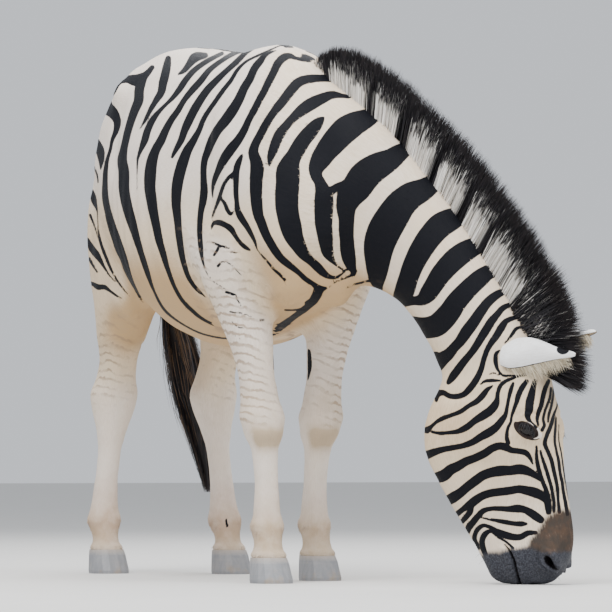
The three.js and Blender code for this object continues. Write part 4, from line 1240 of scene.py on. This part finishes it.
def hoof_material():
    shader = Shader("zebra hoof")
    place = shader.place()
    rings = shader.noise(shader.stretched(place, 4, 4, 130), 1.0, 3)
    grain = shader.noise(shader.stretched(place, 90, 90, 14), 1.0, 3)
    mud = shader.noise(place, 30, 4)
    colour = shader.mix(grain.ramp(0.35, 0.7) * 0.5, (0.215, 0.220, 0.235), (0.30, 0.30, 0.305))
    colour = shader.mix(rings.ramp(0.5, 0.75) * 0.25, colour, (0.34, 0.32, 0.30))
    height = shader.axis(place, 2)
    top = height.ramp(0.045, 0.062)
    colour = shader.mix(top * 0.6, colour, (0.42, 0.36, 0.30))
    dirty = (mud.ramp(0.48, 0.70) * (1 - height.ramp(0.0, 0.04)) + mud.ramp(0.62, 0.8) * 0.3).clamp()
    colour = shader.mix(dirty * 0.6, colour, (0.33, 0.25, 0.17))
    normal = shader.bump(rings * 0.7 + grain * 0.3, 0.5, 0.0012)
    rough = 0.50 + dirty * 0.3
    return shader.finish(Base_Color=colour, Roughness=rough, Normal=normal, Specular_IOR_Level=0.4)


def paint_node(node, material):
    NODES[node].data.materials.clear()
    NODES[node].data.materials.append(material)


# ---------------------------------------------------------------- hair
PATCH = 0.003
# How deep in a mark wholly dark and wholly pale hair is, and the range kept on the skin.
INK_MARK, PALE_MARK = 4.0, -3.0
MARK_RANGE = (-6, 6)


class Hair:
    """Many thin tapering strips, kept as arrays until they are made into one mesh."""

    def __init__(self, seed):
        self.random = np.random.default_rng(SEED + seed)
        self.points, self.faces, self.values, self.uvs = [], [], [], []
        self.brown = []
        self.count = 0

    def add(self, paths, across, width, marks, uv, taper=0.8):
        """paths is strips x levels x 3; the last level is the tip. across is the way a strip is wide."""
        strips, levels = paths.shape[:2]
        s = np.linspace(0, 1, levels)
        half = (np.asarray(width, float).reshape(-1, 1) / 2) * (1 - s[None] ** 2) ** taper
        left = paths - across[:, None] * half[..., None]
        right = paths + across[:, None] * half[..., None]
        pairs = np.stack([left, right], 2)[:, :-1].reshape(strips, -1, 3)
        size = 2 * (levels - 1) + 1
        self.points.append(np.concatenate([pairs, paths[:, -1:]], 1).reshape(-1, 3))
        one = [(2 * i, 2 * i + 1, 2 * i + 3, 2 * i + 2) for i in range(levels - 2)]
        one.append((size - 3, size - 2, size - 1, size - 1))
        base = (np.arange(strips) * size + self.count)[:, None, None]
        self.faces.append((np.array(one)[None] + base).reshape(-1, 4))
        self.count += strips * size
        shade = self.random.random(strips)
        along = np.concatenate([np.repeat(s[:-1], 2), [1.0]])
        levelled = np.broadcast_to(np.reshape(marks, (len(np.atleast_1d(marks)), -1)), (strips, levels))
        marks = np.concatenate([np.repeat(levelled[:, :-1], 2, axis=1), levelled[:, -1:]], 1).ravel()
        self.values.append(np.column_stack([np.tile(along, strips), np.repeat(shade, size), marks]))
        offset = np.column_stack([np.append(np.tile([-0.5, 0.5], levels - 1), 0), along - 0.5]) * PATCH
        self.uvs.append((uv[:, None] + offset[None]).reshape(-1, 2))

    def make(self, name, material, extra=()):
        """One mesh of all the strips."""
        points, faces = np.vstack(self.points), np.vstack(self.faces)
        values = np.vstack(self.values)
        named = [(label, "FLOAT", values[:, i]) for i, label in enumerate(("along", "shade", "marks"))]
        named += [("brown", "FLOAT", self.brown)] if len(self.brown) else []
        made = mesh_object(name, points, faces, [*named, *extra], np.vstack(self.uvs))
        made.data.materials.append(material)
        return made


def curved(root, way, fall, length, levels):
    """Strips' paths that leave their roots one way and bend towards another."""
    s = np.linspace(0, 1, levels)[None, :, None]
    length = np.asarray(length, float).reshape(-1, 1, 1)
    return root[:, None] + length * (way[:, None] * s + fall[:, None] * s * s)


def spun(way, random):
    """A random way across each strip."""
    other = unit(random.normal(size=way.shape))
    return unit(np.cross(way, other))


# Pale bands of the mane, where their roots fall across the picture.
PALE_BANDS = [(313, 321), (335, 350), (353.5, 366.5), (377.5, 396), (410, 428.5), (439, 456.5), (467, 478.5),
              (488, 500.5), (507, 516.5), (520, 528), (533, 543), (549, 557), (561, 568)]
# share of the neck, height of the hair, half thickness at the root
MANE = [
    (0.18, 0.020, 0.010), (0.24, 0.070, 0.014), (0.34, 0.100, 0.017), (0.42, 0.112, 0.018),
    (0.6, 0.124, 0.020), (0.8, 0.128, 0.022), (0.95, 0.124, 0.023), (1.07, 0.116, 0.022),
]


def mane(blades):
    hair = Hair(1)
    random = hair.random
    t = random.random(blades) * 0.88 + 0.19
    height, thick = through(MANE, t).T
    centre, ahead, side, up, reaches = neck_axes(t)
    off = np.clip(random.normal(size=blades) * 0.5, -1, 1)
    root = centre + up * (reaches[:, :1] - 0.014 - 0.010 * off[:, None] ** 2) + side * (off * thick)[:, None]
    clump = np.sin(t * 310 + np.sin(t * 97) * 3)
    wild = random.normal(size=root.shape) * 0.035
    way = unit(up - ahead * (0.30 + 0.05 * clump)[:, None] + side * (off * 0.16)[:, None] + wild)
    sideways = off * 0.10 + random.normal(size=blades) * 0.03
    fall = ahead * (0.06 * clump + 0.05)[:, None] + side * sideways[:, None]
    length = (height + 0.034) * (1 - 0.18 * random.random(blades) ** 2) * (1 - 0.20 * off**2) + 0.006 * clump
    across, _ = in_picture(centre + up * reaches[:, :1] - side * thick[:, None])
    depth = np.full(blades, 9.0)
    for first, last in PALE_BANDS:
        depth = np.minimum(depth, -np.minimum(across - first, last - across) - 1.8)
    paths = curved(root, way, fall, length, 5)
    uv = np.column_stack([0.62 + t * 0.3, 0.93 + off * 0.02])
    flat = spun(way, random)
    width = 0.0016 + 0.0016 * random.random(blades)
    marks = depth * 0.6 + random.normal(size=blades) * 0.35
    hair.add(paths, flat, width, marks, uv)
    return hair


def forelock(blades):
    hair = Hair(2)
    random = hair.random
    t = random.random(blades)
    off = np.clip(random.normal(size=blades) * 0.5, -1, 1)
    thick = 0.027 - 0.009 * t
    root = on_head(-0.050 + 0.118 * t, -0.052 + 0.066 * ramp(t, 0, 1), off * thick)
    wild = random.normal(size=root.shape) * 0.05
    way = unit(FRONT + DOWN * (-0.85 + 1.25 * t)[:, None] + SIDE * (off * 0.22)[:, None] + wild)
    fall = DOWN * (0.04 + 0.08 * t)[:, None] + SIDE * (off * 0.10)[:, None]
    length = (0.205 - 0.055 * t) * (1 - 0.20 * random.random(blades) ** 2)
    paths = curved(root, way, fall, length, 5)
    uv = np.column_stack([0.93 + t * 0.05, 0.93 + off * 0.02])
    marks = np.where(random.random(blades) < 0.05 * (1 - t), -2.0, INK_MARK)
    hair.add(paths, spun(way, random), 0.0016 + 0.0018 * random.random(blades), marks, uv)
    return hair


# share of the way, centre x y z, half thickness across and along
TAIL = [
    (0.0, -0.688, 0, 1.190, 0.036, 0.030), (0.08, -0.736, 0.004, 1.150, 0.034, 0.030),
    (0.2, -0.768, 0.016, 1.040, 0.028, 0.027), (0.35, -0.782, 0.040, 0.880, 0.022, 0.022),
    (0.5, -0.780, 0.072, 0.720, 0.026, 0.025), (0.62, -0.774, 0.098, 0.600, 0.044, 0.036),
    (0.75, -0.766, 0.124, 0.470, 0.044, 0.034), (0.88, -0.758, 0.150, 0.330, 0.026, 0.022),
    (1.0, -0.750, 0.172, 0.190, 0.006, 0.006),
]


def tail(strands):
    hair = Hair(3)
    random = hair.random
    levels = 9
    first = 0.34 + 0.24 * random.random(strands)
    last = np.minimum(first + 0.26 + 0.30 * random.random(strands), 0.985)
    angle, out = random.random(strands) * 2 * math.pi, np.sqrt(random.random(strands)) * 1.08
    out = out + 0.45 * (random.random(strands) < 0.05)
    s = np.linspace(0, 1, levels)
    t = first[:, None] + (last - first)[:, None] * s
    rows = through(TAIL, t.ravel()).reshape(strands, levels, 5)
    lock = np.round(angle * 3)[:, None]
    sway = (0.006 * np.sin(t * 26 + lock * 2.1) + 0.003 * np.sin(t * 61 + lock)) * s
    spread = (0.82 * (1 - s) + out[:, None] * s * (1.0 + 0.25 * np.sin(angle * 5))[:, None])[..., None]
    swing = np.stack([np.sin(angle), np.cos(angle), 0 * angle], 1)[:, None] * rows[..., 3:4] * vec(0.8, 1, 1)
    paths = rows[..., :3] + swing * spread + np.stack([sway, -sway, 0 * sway], -1)
    across = np.stack([-np.cos(angle), np.sin(angle), 0 * angle], 1)
    uv = np.column_stack([0.90 + 0.06 * out, 0.60 + 0.2 * (first - 0.36)])
    width = 0.0016 + 0.0016 * random.random(strands)
    hair.add(paths, across, width, np.full(strands, INK_MARK), uv, taper=0.5)
    pale = random.random(strands) < 0.45 * ramp(out, 0.75, 1.0) * ramp(-first, -0.52, -0.40)
    hair.brown = np.repeat(np.where(pale, 0.5 + 0.5 * random.random(strands), 0.0), 2 * (levels - 1) + 1)
    return hair


# ---------------------------------------------------------------- ears
EAR_LENGTH = 0.180
EAR_SWEEP = 1.72
EARS = {
    "right": (-1, (0.040, -0.014, 0.062), 0.0, 0.002, 0.6),
    "left": (1, (0.034, 0.006, 0.060), -0.058, 0.0, -0.2),
}
# share of the length, half width, depth of the cup
EAR = [
    (0, 0.036, 0.024), (0.12, 0.048, 0.034), (0.3, 0.045, 0.041), (0.45, 0.035, 0.041), (0.6, 0.026, 0.031),
    (0.74, 0.018, 0.019), (0.88, 0.012, 0.011), (0.96, 0.008, 0.008), (1, 0.004, 0.004),
]


def ear_axes(name):
    side, (down, front, out), drop, spread, roll = EARS[name]
    base = on_head(down, front, out * side)
    ahead = unit(FRONT * EAR_LENGTH + DOWN * drop + SIDE * spread * side)
    level = unit(np.cross(DOWN, ahead))
    level = level * math.cos(roll) + np.cross(ahead, level) * math.sin(roll)
    back = unit(np.cross(ahead, level))
    return base, ahead, level, back if back @ DOWN < 0 else -back


def ear_point(axes, t, a, inset):
    """A place on the ear: t from root to tip, a from rim to rim, inset from its back."""
    base, ahead, level, back = axes
    half, deep = through(EAR, t).T
    crinkle = 0.0012 * np.sin(a * 9) * np.sin(t * 14)
    half, deep = np.maximum(half - inset, half * 0.3), np.maximum(deep - inset + crinkle, deep * 0.3)
    curl = 0.010 * t * t
    return (
        base + ahead * (t * EAR_LENGTH - 0.012)[:, None] + level * (np.sin(a * EAR_SWEEP) * half)[:, None]
        + back * (np.cos(a * EAR_SWEEP) * deep - curl)[:, None]
    )


def ear_shell(name, rows=40, columns=28):
    """The ear as a closed cup, with what the skin's shader has to know about it."""
    axes = ear_axes(name)
    spans = np.linspace(0, 1, rows), np.linspace(-1, 1, columns)
    t, a = (grid.ravel() for grid in np.meshgrid(*spans, indexing="ij"))
    rounded = 0.0035 * np.sqrt(np.clip(1 - np.abs(a) ** 8, 0, 1)) * (1 - 0.5 * t)
    outside, inside = ear_point(axes, t, a, 0 * t), ear_point(axes, t, a, rounded)
    order = np.arange(rows * columns).reshape(rows, columns)
    loop = np.concatenate([order, order[:, ::-1] + rows * columns], 1)
    ring = loop.shape[1]
    faces = [
        (loop[i, k], loop[i, (k + 1) % ring], loop[i + 1, (k + 1) % ring], loop[i + 1, k])
        for i in range(rows - 1)
        for k in range(ring)
    ]
    cap = (1 - np.hypot((t - 0.84) / 0.08, a / 0.55)) * 5
    edge = np.maximum((np.abs(a) - 0.965) * 60, cap)
    inner_edge = (np.abs(a) - 0.94) * 40
    marks = np.concatenate([edge, inner_edge])
    tan_and_shade = np.concatenate([0 * t, 0.75 + 0 * t])
    return np.vstack([outside, inside]), np.array(faces), marks, tan_and_shade, np.tile(t, 2), np.tile(a, 2)


def ear_hair(name, count):
    """Pale hair inside the cup of the ear, thickest along its rims."""
    hair = Hair(5 + len(name))
    random = hair.random
    axes = ear_axes(name)
    _, ahead, level, back = axes
    t = 0.04 + 0.82 * random.random(count)
    rim = random.random(count) < 0.7
    at_rim = np.sign(random.random(count) - 0.5) * (0.80 + 0.20 * random.random(count))
    a = np.where(rim, at_rim, random.random(count) * 2 - 1)
    root = ear_point(axes, t, a, 0.0036 + 0 * t)
    inwards = -back - level * (np.sin(a * EAR_SWEEP))[:, None] * 0.35
    way = unit(inwards * 0.8 + ahead * 0.50 + random.normal(size=root.shape) * 0.14)
    fall = DOWN * 0.45 - ahead * 0.10 + 0 * root
    length = (0.018 + 0.034 * random.random(count)) * (1.3 - 0.8 * t)
    uv = np.column_stack([0.80 + 0.08 * t, 0.50 + 0.05 * a])
    paths = curved(root, way, fall, length, 4)
    hair.add(paths, spun(way, random), 0.0013 + 0 * t, np.full(count, PALE_MARK), uv)
    return hair


# ---------------------------------------------------------------- lids, lashes and whiskers
def lid_ring(side, rounds=72):
    """The rims of the lids, from behind the opening's edge out under the skin."""
    angle = np.linspace(0, 2 * math.pi, rounds, endpoint=False)
    profile = [
        (0.90, -0.0015), (0.985, 0.0004), (1.02, 0.0020), (1.10, 0.0032), (1.22, 0.0036), (1.38, 0.0022),
        (1.62, -0.004),
    ]
    rings = []
    for share, lift in profile:
        upper = np.clip(np.sin(angle), 0, 1)
        along = np.cos(angle) * OPENING[0] * share
        pointed = np.sign(np.sin(angle)) * np.abs(np.sin(angle)) ** 1.15
        across = pointed * OPENING[1] * (share + 0.06 * (share - 1))
        reach = np.minimum(np.hypot(along, across), EYE_RADIUS * 1.3)
        ball = np.sqrt(np.maximum((EYE_RADIUS + 0.0004) ** 2 - reach**2, 0))
        out = ball + lift + 0.0012 * upper * (share > 1)
        down, front = at_opening(along, across)
        rings.append(on_head(down, front, (EYE[2] + out) * side))
    points = np.array(rings).reshape(-1, 3)
    faces = []
    for i in range(len(profile) - 1):
        for k in range(rounds):
            n = (k + 1) % rounds
            faces.append((i * rounds + k, i * rounds + n, (i + 1) * rounds + n, (i + 1) * rounds + k))
    share = np.repeat([s for s, _ in profile], rounds)
    faces = np.array(faces)
    return points, faces[:, ::-1] if side > 0 else faces, 1 - ramp(share, 1.15, 1.5)


def lashes(count):
    hair = Hair(9)
    random = hair.random
    for side in (-1, 1):
        s = random.random(count)
        angle = math.pi * (0.04 + 0.92 * s)
        along, across = np.cos(angle) * OPENING[0], np.sin(angle) ** 1.15 * OPENING[1] * 1.03
        out = np.sqrt((EYE_RADIUS + 0.003) ** 2 - along**2 - across**2)
        down, front = at_opening(along, across)
        root = on_head(down, front, (EYE[2] + out) * side)
        way = unit(SIDE * side * 0.8 + DOWN * 0.4 + random.normal(size=root.shape) * 0.14)
        length = 0.014 + 0.010 * random.random(count)
        uv = np.column_stack([0.70 + 0.02 * s, np.full(count, 0.56 + 0.01 * side)])
        paths = curved(root, way, DOWN * 0.5 + 0 * root, length, 4)
        hair.add(paths, spun(way, random), 0.0009 + 0 * s, np.full(count, INK_MARK), uv)
    return hair


def whiskers(skin, count):
    hair = Hair(10)
    random = hair.random
    down, front, _ = head_place(skin.points)
    near_mouth = (skin.labels == HEAD) & (down > 0.51) & (front < 0.055)
    spots = np.flatnonzero(near_mouth & (skin.points[:, 2] > 0.014))
    chosen = random.choice(spots, count)
    normal = skin.normals[chosen]
    way = unit(normal + DOWN * 0.25 + random.normal(size=normal.shape) * 0.15)
    length = np.minimum(0.010 + 0.016 * random.random(count), skin.points[chosen, 2] * 0.7)
    uv = pattern_place(skin, chosen)
    root = skin.points[chosen] - normal * 0.001
    paths = curved(root, way, DOWN * 0.2 + 0 * way, length, 4)
    hair.add(paths, spun(way, random), 0.0005 + 0 * length, np.full(count, INK_MARK), uv)
    return hair


# ---------------------------------------------------------------- the short coat
def pattern_place(skin, chosen):
    return skin.chart[chosen] + np.column_stack([skin.along[chosen], skin.round[chosen]]) * CHART_SCALE


def nap_of(skin):
    """Where each point takes the fine pattern of the fur: along, round, and a layer for its part."""
    return np.column_stack([skin.along, skin.round, skin.labels * 0.37])


def scattered(skin, weights, count, random):
    """Places spread over the skin: for each a face's corners and their shares."""
    faces = split(skin.quads)
    a, b, c = (skin.points[faces[:, i]] for i in range(3))
    area = np.linalg.norm(np.cross(b - a, c - a), axis=1) * weights[faces].mean(1)
    drawn = np.searchsorted(np.cumsum(area), random.random(count) * area.sum())
    picked = faces[drawn.clip(0, len(faces) - 1)]
    u, v = random.random(count), random.random(count)
    over = u + v > 1
    u[over], v[over] = 1 - u[over], 1 - v[over]
    return picked, np.column_stack([1 - u - v, u, v])


def coat(skin, seed, weights, count, length, width, lift):
    """Short tufts that lie along the coat; length, width and lift are at each of the skin's points."""
    hair = Hair(seed)
    random = hair.random
    picked, shares = scattered(skin, weights, count, random)

    def blend(values):
        values = values[picked]
        return (values * (shares if values.ndim == 2 else shares[..., None])).sum(1)

    normal, way = unit(blend(skin.normals)), unit(blend(skin.lie))
    size = blend(length) * (0.7 + 0.6 * random.random(count))
    swirl = np.cross(normal, way)
    way = unit(way + swirl * (random.normal(size=count) * 0.16)[:, None])
    raised = unit(way + normal * (blend(lift) * (0.5 + random.random(count)))[:, None])
    root = blend(skin.points) - normal * 0.0012
    paths = curved(root, raised, -normal * (blend(lift) * 0.55)[:, None], size, 3)
    across = unit(np.cross(way, normal) + normal * (random.normal(size=count) * 0.25)[:, None])
    marks = blend(skin.marks)[:, None] + (blend(skin.slope) * size * 0.8)[:, None] * np.linspace(0, 1, 3)
    chosen = picked[:, 0]
    across_by = blend(width) * (0.7 + 0.6 * random.random(count))
    hair.add(paths, across, across_by, marks, pattern_place(skin, chosen))
    each = hair.points[0].shape[0] // count

    def repeat(values):
        return np.repeat(values, each, axis=0)

    extra = [("nap", "FLOAT_VECTOR", repeat(blend(nap_of(skin))))]
    extra += [(name, "FLOAT", repeat(blend(values))) for name, values in skin.tones.items()]
    return hair, extra


# ---------------------------------------------------------------- pieces
def skin_attributes(skin):
    tones = [(name, "FLOAT", values) for name, values in skin.tones.items()]
    tones.append(("white_and_sky_light", "FLOAT", np.zeros(len(skin.points))))
    marks = np.clip(skin.marks, *MARK_RANGE)
    return [("nap", "FLOAT_VECTOR", nap_of(skin)), ("marks", "FLOAT", marks), *tones]


def joined(attributes, points, nap, **known):
    """The skin's attributes carried on over an added part; what isn't given is nought."""
    result = []
    for name, kind, values in attributes:
        more = nap if name == "nap" else known.get(name, np.zeros(len(points)))
        result.append((name, kind, np.concatenate([values, more])))
    return result


def make_skin(skin):
    """The skin with its ears and lids."""
    points, faces, attributes = skin.points, skin.quads, skin_attributes(skin)
    for name in EARS:
        more, shell, marks, tan_and_shade, t, a = ear_shell(name)
        nap = np.column_stack([t * EAR_LENGTH, a * 0.05, 0 * t])
        # The outer ear's share of bluish white is painted sky light over its pale hair; the inner cup is
        # mostly cream.
        known = {"marks": np.clip(marks, *MARK_RANGE), "tan_and_shade": tan_and_shade, "white_and_sky_light": 1 - np.minimum(tan_and_shade, 1)}
        attributes = joined(attributes, more, nap, **known)
        faces = np.vstack([faces, shell + len(points)])
        points = np.vstack([points, more])
    for side in (-1, 1):
        more, ring, rim = lid_ring(side)
        attributes = joined(attributes, more, more * 0.3, marks=np.full(len(more), PALE_MARK), rim=rim)
        faces = np.vstack([faces, ring + len(points)])
        points = np.vstack([points, more])
    made = mesh_object("skin", points, faces, attributes)
    made.data.materials.append(skin_material())
    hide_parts(*FLESH, "ear_right", "ear_left")


# Tufts in each piece of the coat, three triangles each.
TUFTS = {"coat_body": 62000, "coat_legs": 52000, "coat_neck": 40000, "coat_head": 60000}


def make_coat(skin, fullness):
    _, front, _ = head_place(skin.points)
    part = skin.labels
    head, neck, legs = part == HEAD, part == NECK_PART, np.isin(part, LEG_PARTS)
    bare = np.maximum(skin.tones["snout"], skin.tones["rim"])
    low_leg = legs * (1 - ramp(skin.points[:, 2], 0.05, 0.30))
    length = np.where(head, 0.0050 + 0.003 * ramp(-front, 0.0, 0.15), np.where(legs, 0.0085, 0.0105))
    height = skin.points[:, 2]
    length = length + (0.007 * bump(height, 0.125, 0.02) + 0.002 * bump(height, 0.068, 0.008)) * legs
    width = np.where(head, 0.0014, np.where(legs, 0.0018, 0.0024))
    lift = 0.14 + 0.06 * low_leg
    material = skin_material()
    shares = {
        "coat_body": (part == TRUNK) * 1.0,
        "coat_legs": (legs | (part == TAIL_PART)) * (1.0 + 1.2 * low_leg),
        "coat_neck": neck * 1.0,
        "coat_head": head * (1 - ramp(bare, 0.3, 0.7)) * (1.0 + 0.6 * ramp(-front, 0.02, 0.15)),
    }
    for seed, (name, weights) in enumerate(shares.items(), 20):
        hair, extra = coat(skin, seed, weights, int(TUFTS[name] * fullness), length, width, lift)
        made = hair.make(name, material, extra)


def make_hair(skin):
    striped = hair_material("mane hair", 0.64)
    dark = hair_material("tail hair", 2.0)
    cream = hair_material("ear hair", 2.0, (0.82, 0.75, 0.60), (0.56, 0.47, 0.33))
    for name, hair, material, node in (
        ("mane_hair", mane(16000), striped, "mane"),
        ("forelock_hair", forelock(5000), dark, "forelock"),
        ("tail_hair", tail(3600), dark, "tail_tuft"),
    ):
        made = hair.make(name, material)
        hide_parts(node)
    for name, hair, material in (
        ("ear_hair_right", ear_hair("right", 2600), cream),
        ("ear_hair_left", ear_hair("left", 2600), cream),
        ("lashes", lashes(90), dark),
        ("whiskers", whiskers(skin, 70), dark),
    ):
        hair.make(name, material)


# ---------------------------------------------------------------- floor, light and camera
def stage():
    scene = bpy.context.scene
    bpy.ops.mesh.primitive_plane_add(size=60)
    floor = bpy.context.object
    floor.name = "floor"
    shader = Shader("floor")
    grain = shader.noise(shader.place(), 3, 3)
    colour = shader.mix(grain, (0.62, 0.61, 0.59), (0.66, 0.65, 0.63))
    floor.data.materials.append(shader.finish(Base_Color=colour, Roughness=0.9))
    world = bpy.data.worlds.new("studio")
    scene.world = world
    world.use_nodes = True
    world.node_tree.nodes["Background"].inputs["Color"].default_value = (0.86, 0.90, 0.96, 1)
    world.node_tree.nodes["Background"].inputs["Strength"].default_value = 0.85
    towards = Vector(TOWARDS)
    across = Vector(ACROSS)
    middle = Vector((0.1, 0, 0.7))
    for name, side, out, up, size, power in (
        ("key", -1.4, 3.2, 4.2, 3.0, 330),
        ("fill", 3.6, 3.0, 2.0, 3.5, 110),
        ("back", 0.5, -4.5, 3.6, 3.0, 190),
        ("sky", 0.0, 0.4, 4.6, 4.0, 260),
    ):
        lamp = bpy.data.lights.new(name, "AREA")
        lamp.energy, lamp.size = power, size
        holder = bpy.data.objects.new(name, lamp)
        holder.location = middle + across * side + towards * out + Vector((0, 0, up))
        holder.rotation_mode = "QUATERNION"
        holder.rotation_quaternion = (middle - holder.location).to_track_quat("-Z", "Y")
        scene.collection.objects.link(holder)
    lens = bpy.data.cameras.new("camera")
    lens.sensor_width = SENSOR
    lens.lens = FOCUS / PICTURE * SENSOR
    lens.clip_end = 200
    camera = bpy.data.objects.new("camera", lens)
    camera.location = CAMERA + SHIFT
    camera.rotation_mode = "QUATERNION"
    aim = Vector(-TOWARDS) + Vector((0, 0, (HORIZON - PICTURE / 2) / FOCUS))
    camera.rotation_quaternion = aim.to_track_quat("-Z", "Y")
    scene.collection.objects.link(camera)
    scene.camera = camera


# ---------------------------------------------------------------- the add-on
class Animal:
    """What the steps share: the skin, made once."""

    skin = None


class ZebraSettings(bpy.types.PropertyGroup):
    thickness: bpy.props.FloatProperty(
        name="Coat thickness",
        description="How full the short coat is",
        default=1.0,
        min=0.1,
        max=2.0,
        subtype="FACTOR",
    )


class ZEBRA_OT_skin(bpy.types.Operator):
    """Make the skin over the flesh pieces"""

    bl_idname = "zebra.skin"
    bl_label = "Skin"

    def execute(self, context):
        Animal.skin = Skin()
        make_skin(Animal.skin)
        return {"FINISHED"}


class ZEBRA_OT_coat(bpy.types.Operator):
    """Lay the short coat over the skin"""

    bl_idname = "zebra.coat"
    bl_label = "Coat"

    def execute(self, context):
        make_coat(Animal.skin, context.scene.zebra.thickness)
        return {"FINISHED"}


class ZEBRA_OT_hair(bpy.types.Operator):
    """Make the mane, forelock, tail, ear hair, lashes and whiskers"""

    bl_idname = "zebra.hair"
    bl_label = "Long hair"

    def execute(self, context):
        make_hair(Animal.skin)
        return {"FINISHED"}


class ZEBRA_OT_eyes(bpy.types.Operator):
    """Give the eyes and hooves their looks"""

    bl_idname = "zebra.eyes"
    bl_label = "Eyes and hooves"

    def execute(self, context):
        eye, hoof = eye_material(), hoof_material()
        for node in NODES:
            if node.startswith("eye"):
                paint_node(node, eye)
            if node.startswith("hoof"):
                paint_node(node, hoof)
        return {"FINISHED"}


class ZEBRA_OT_stage(bpy.types.Operator):
    """Make the floor, the lights and the camera"""

    bl_idname = "zebra.stage"
    bl_label = "Stage"

    def execute(self, context):
        stage()
        return {"FINISHED"}


STEPS = (ZEBRA_OT_skin, ZEBRA_OT_coat, ZEBRA_OT_hair, ZEBRA_OT_eyes, ZEBRA_OT_stage)


class ZEBRA_PT_panel(bpy.types.Panel):
    """The steps of the zebra"""

    bl_label = "Zebra"
    bl_idname = "ZEBRA_PT_panel"
    bl_space_type = "VIEW_3D"
    bl_region_type = "UI"
    bl_category = "Zebra"

    def draw(self, context):
        self.layout.prop(context.scene.zebra, "thickness")
        for step in STEPS:
            self.layout.operator(step.bl_idname)


CLASSES = (ZebraSettings, *STEPS, ZEBRA_PT_panel)


def register():
    for kind in CLASSES:
        bpy.utils.register_class(kind)
    bpy.types.Scene.zebra = bpy.props.PointerProperty(type=ZebraSettings)


def unregister():
    del bpy.types.Scene.zebra
    for kind in reversed(CLASSES):
        bpy.utils.unregister_class(kind)


def main():
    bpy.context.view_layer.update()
    register()
    for step in STEPS:
        group, name = step.bl_idname.split(".")
        getattr(getattr(bpy.ops, group), name)()


if __name__ == "__main__":
    main()
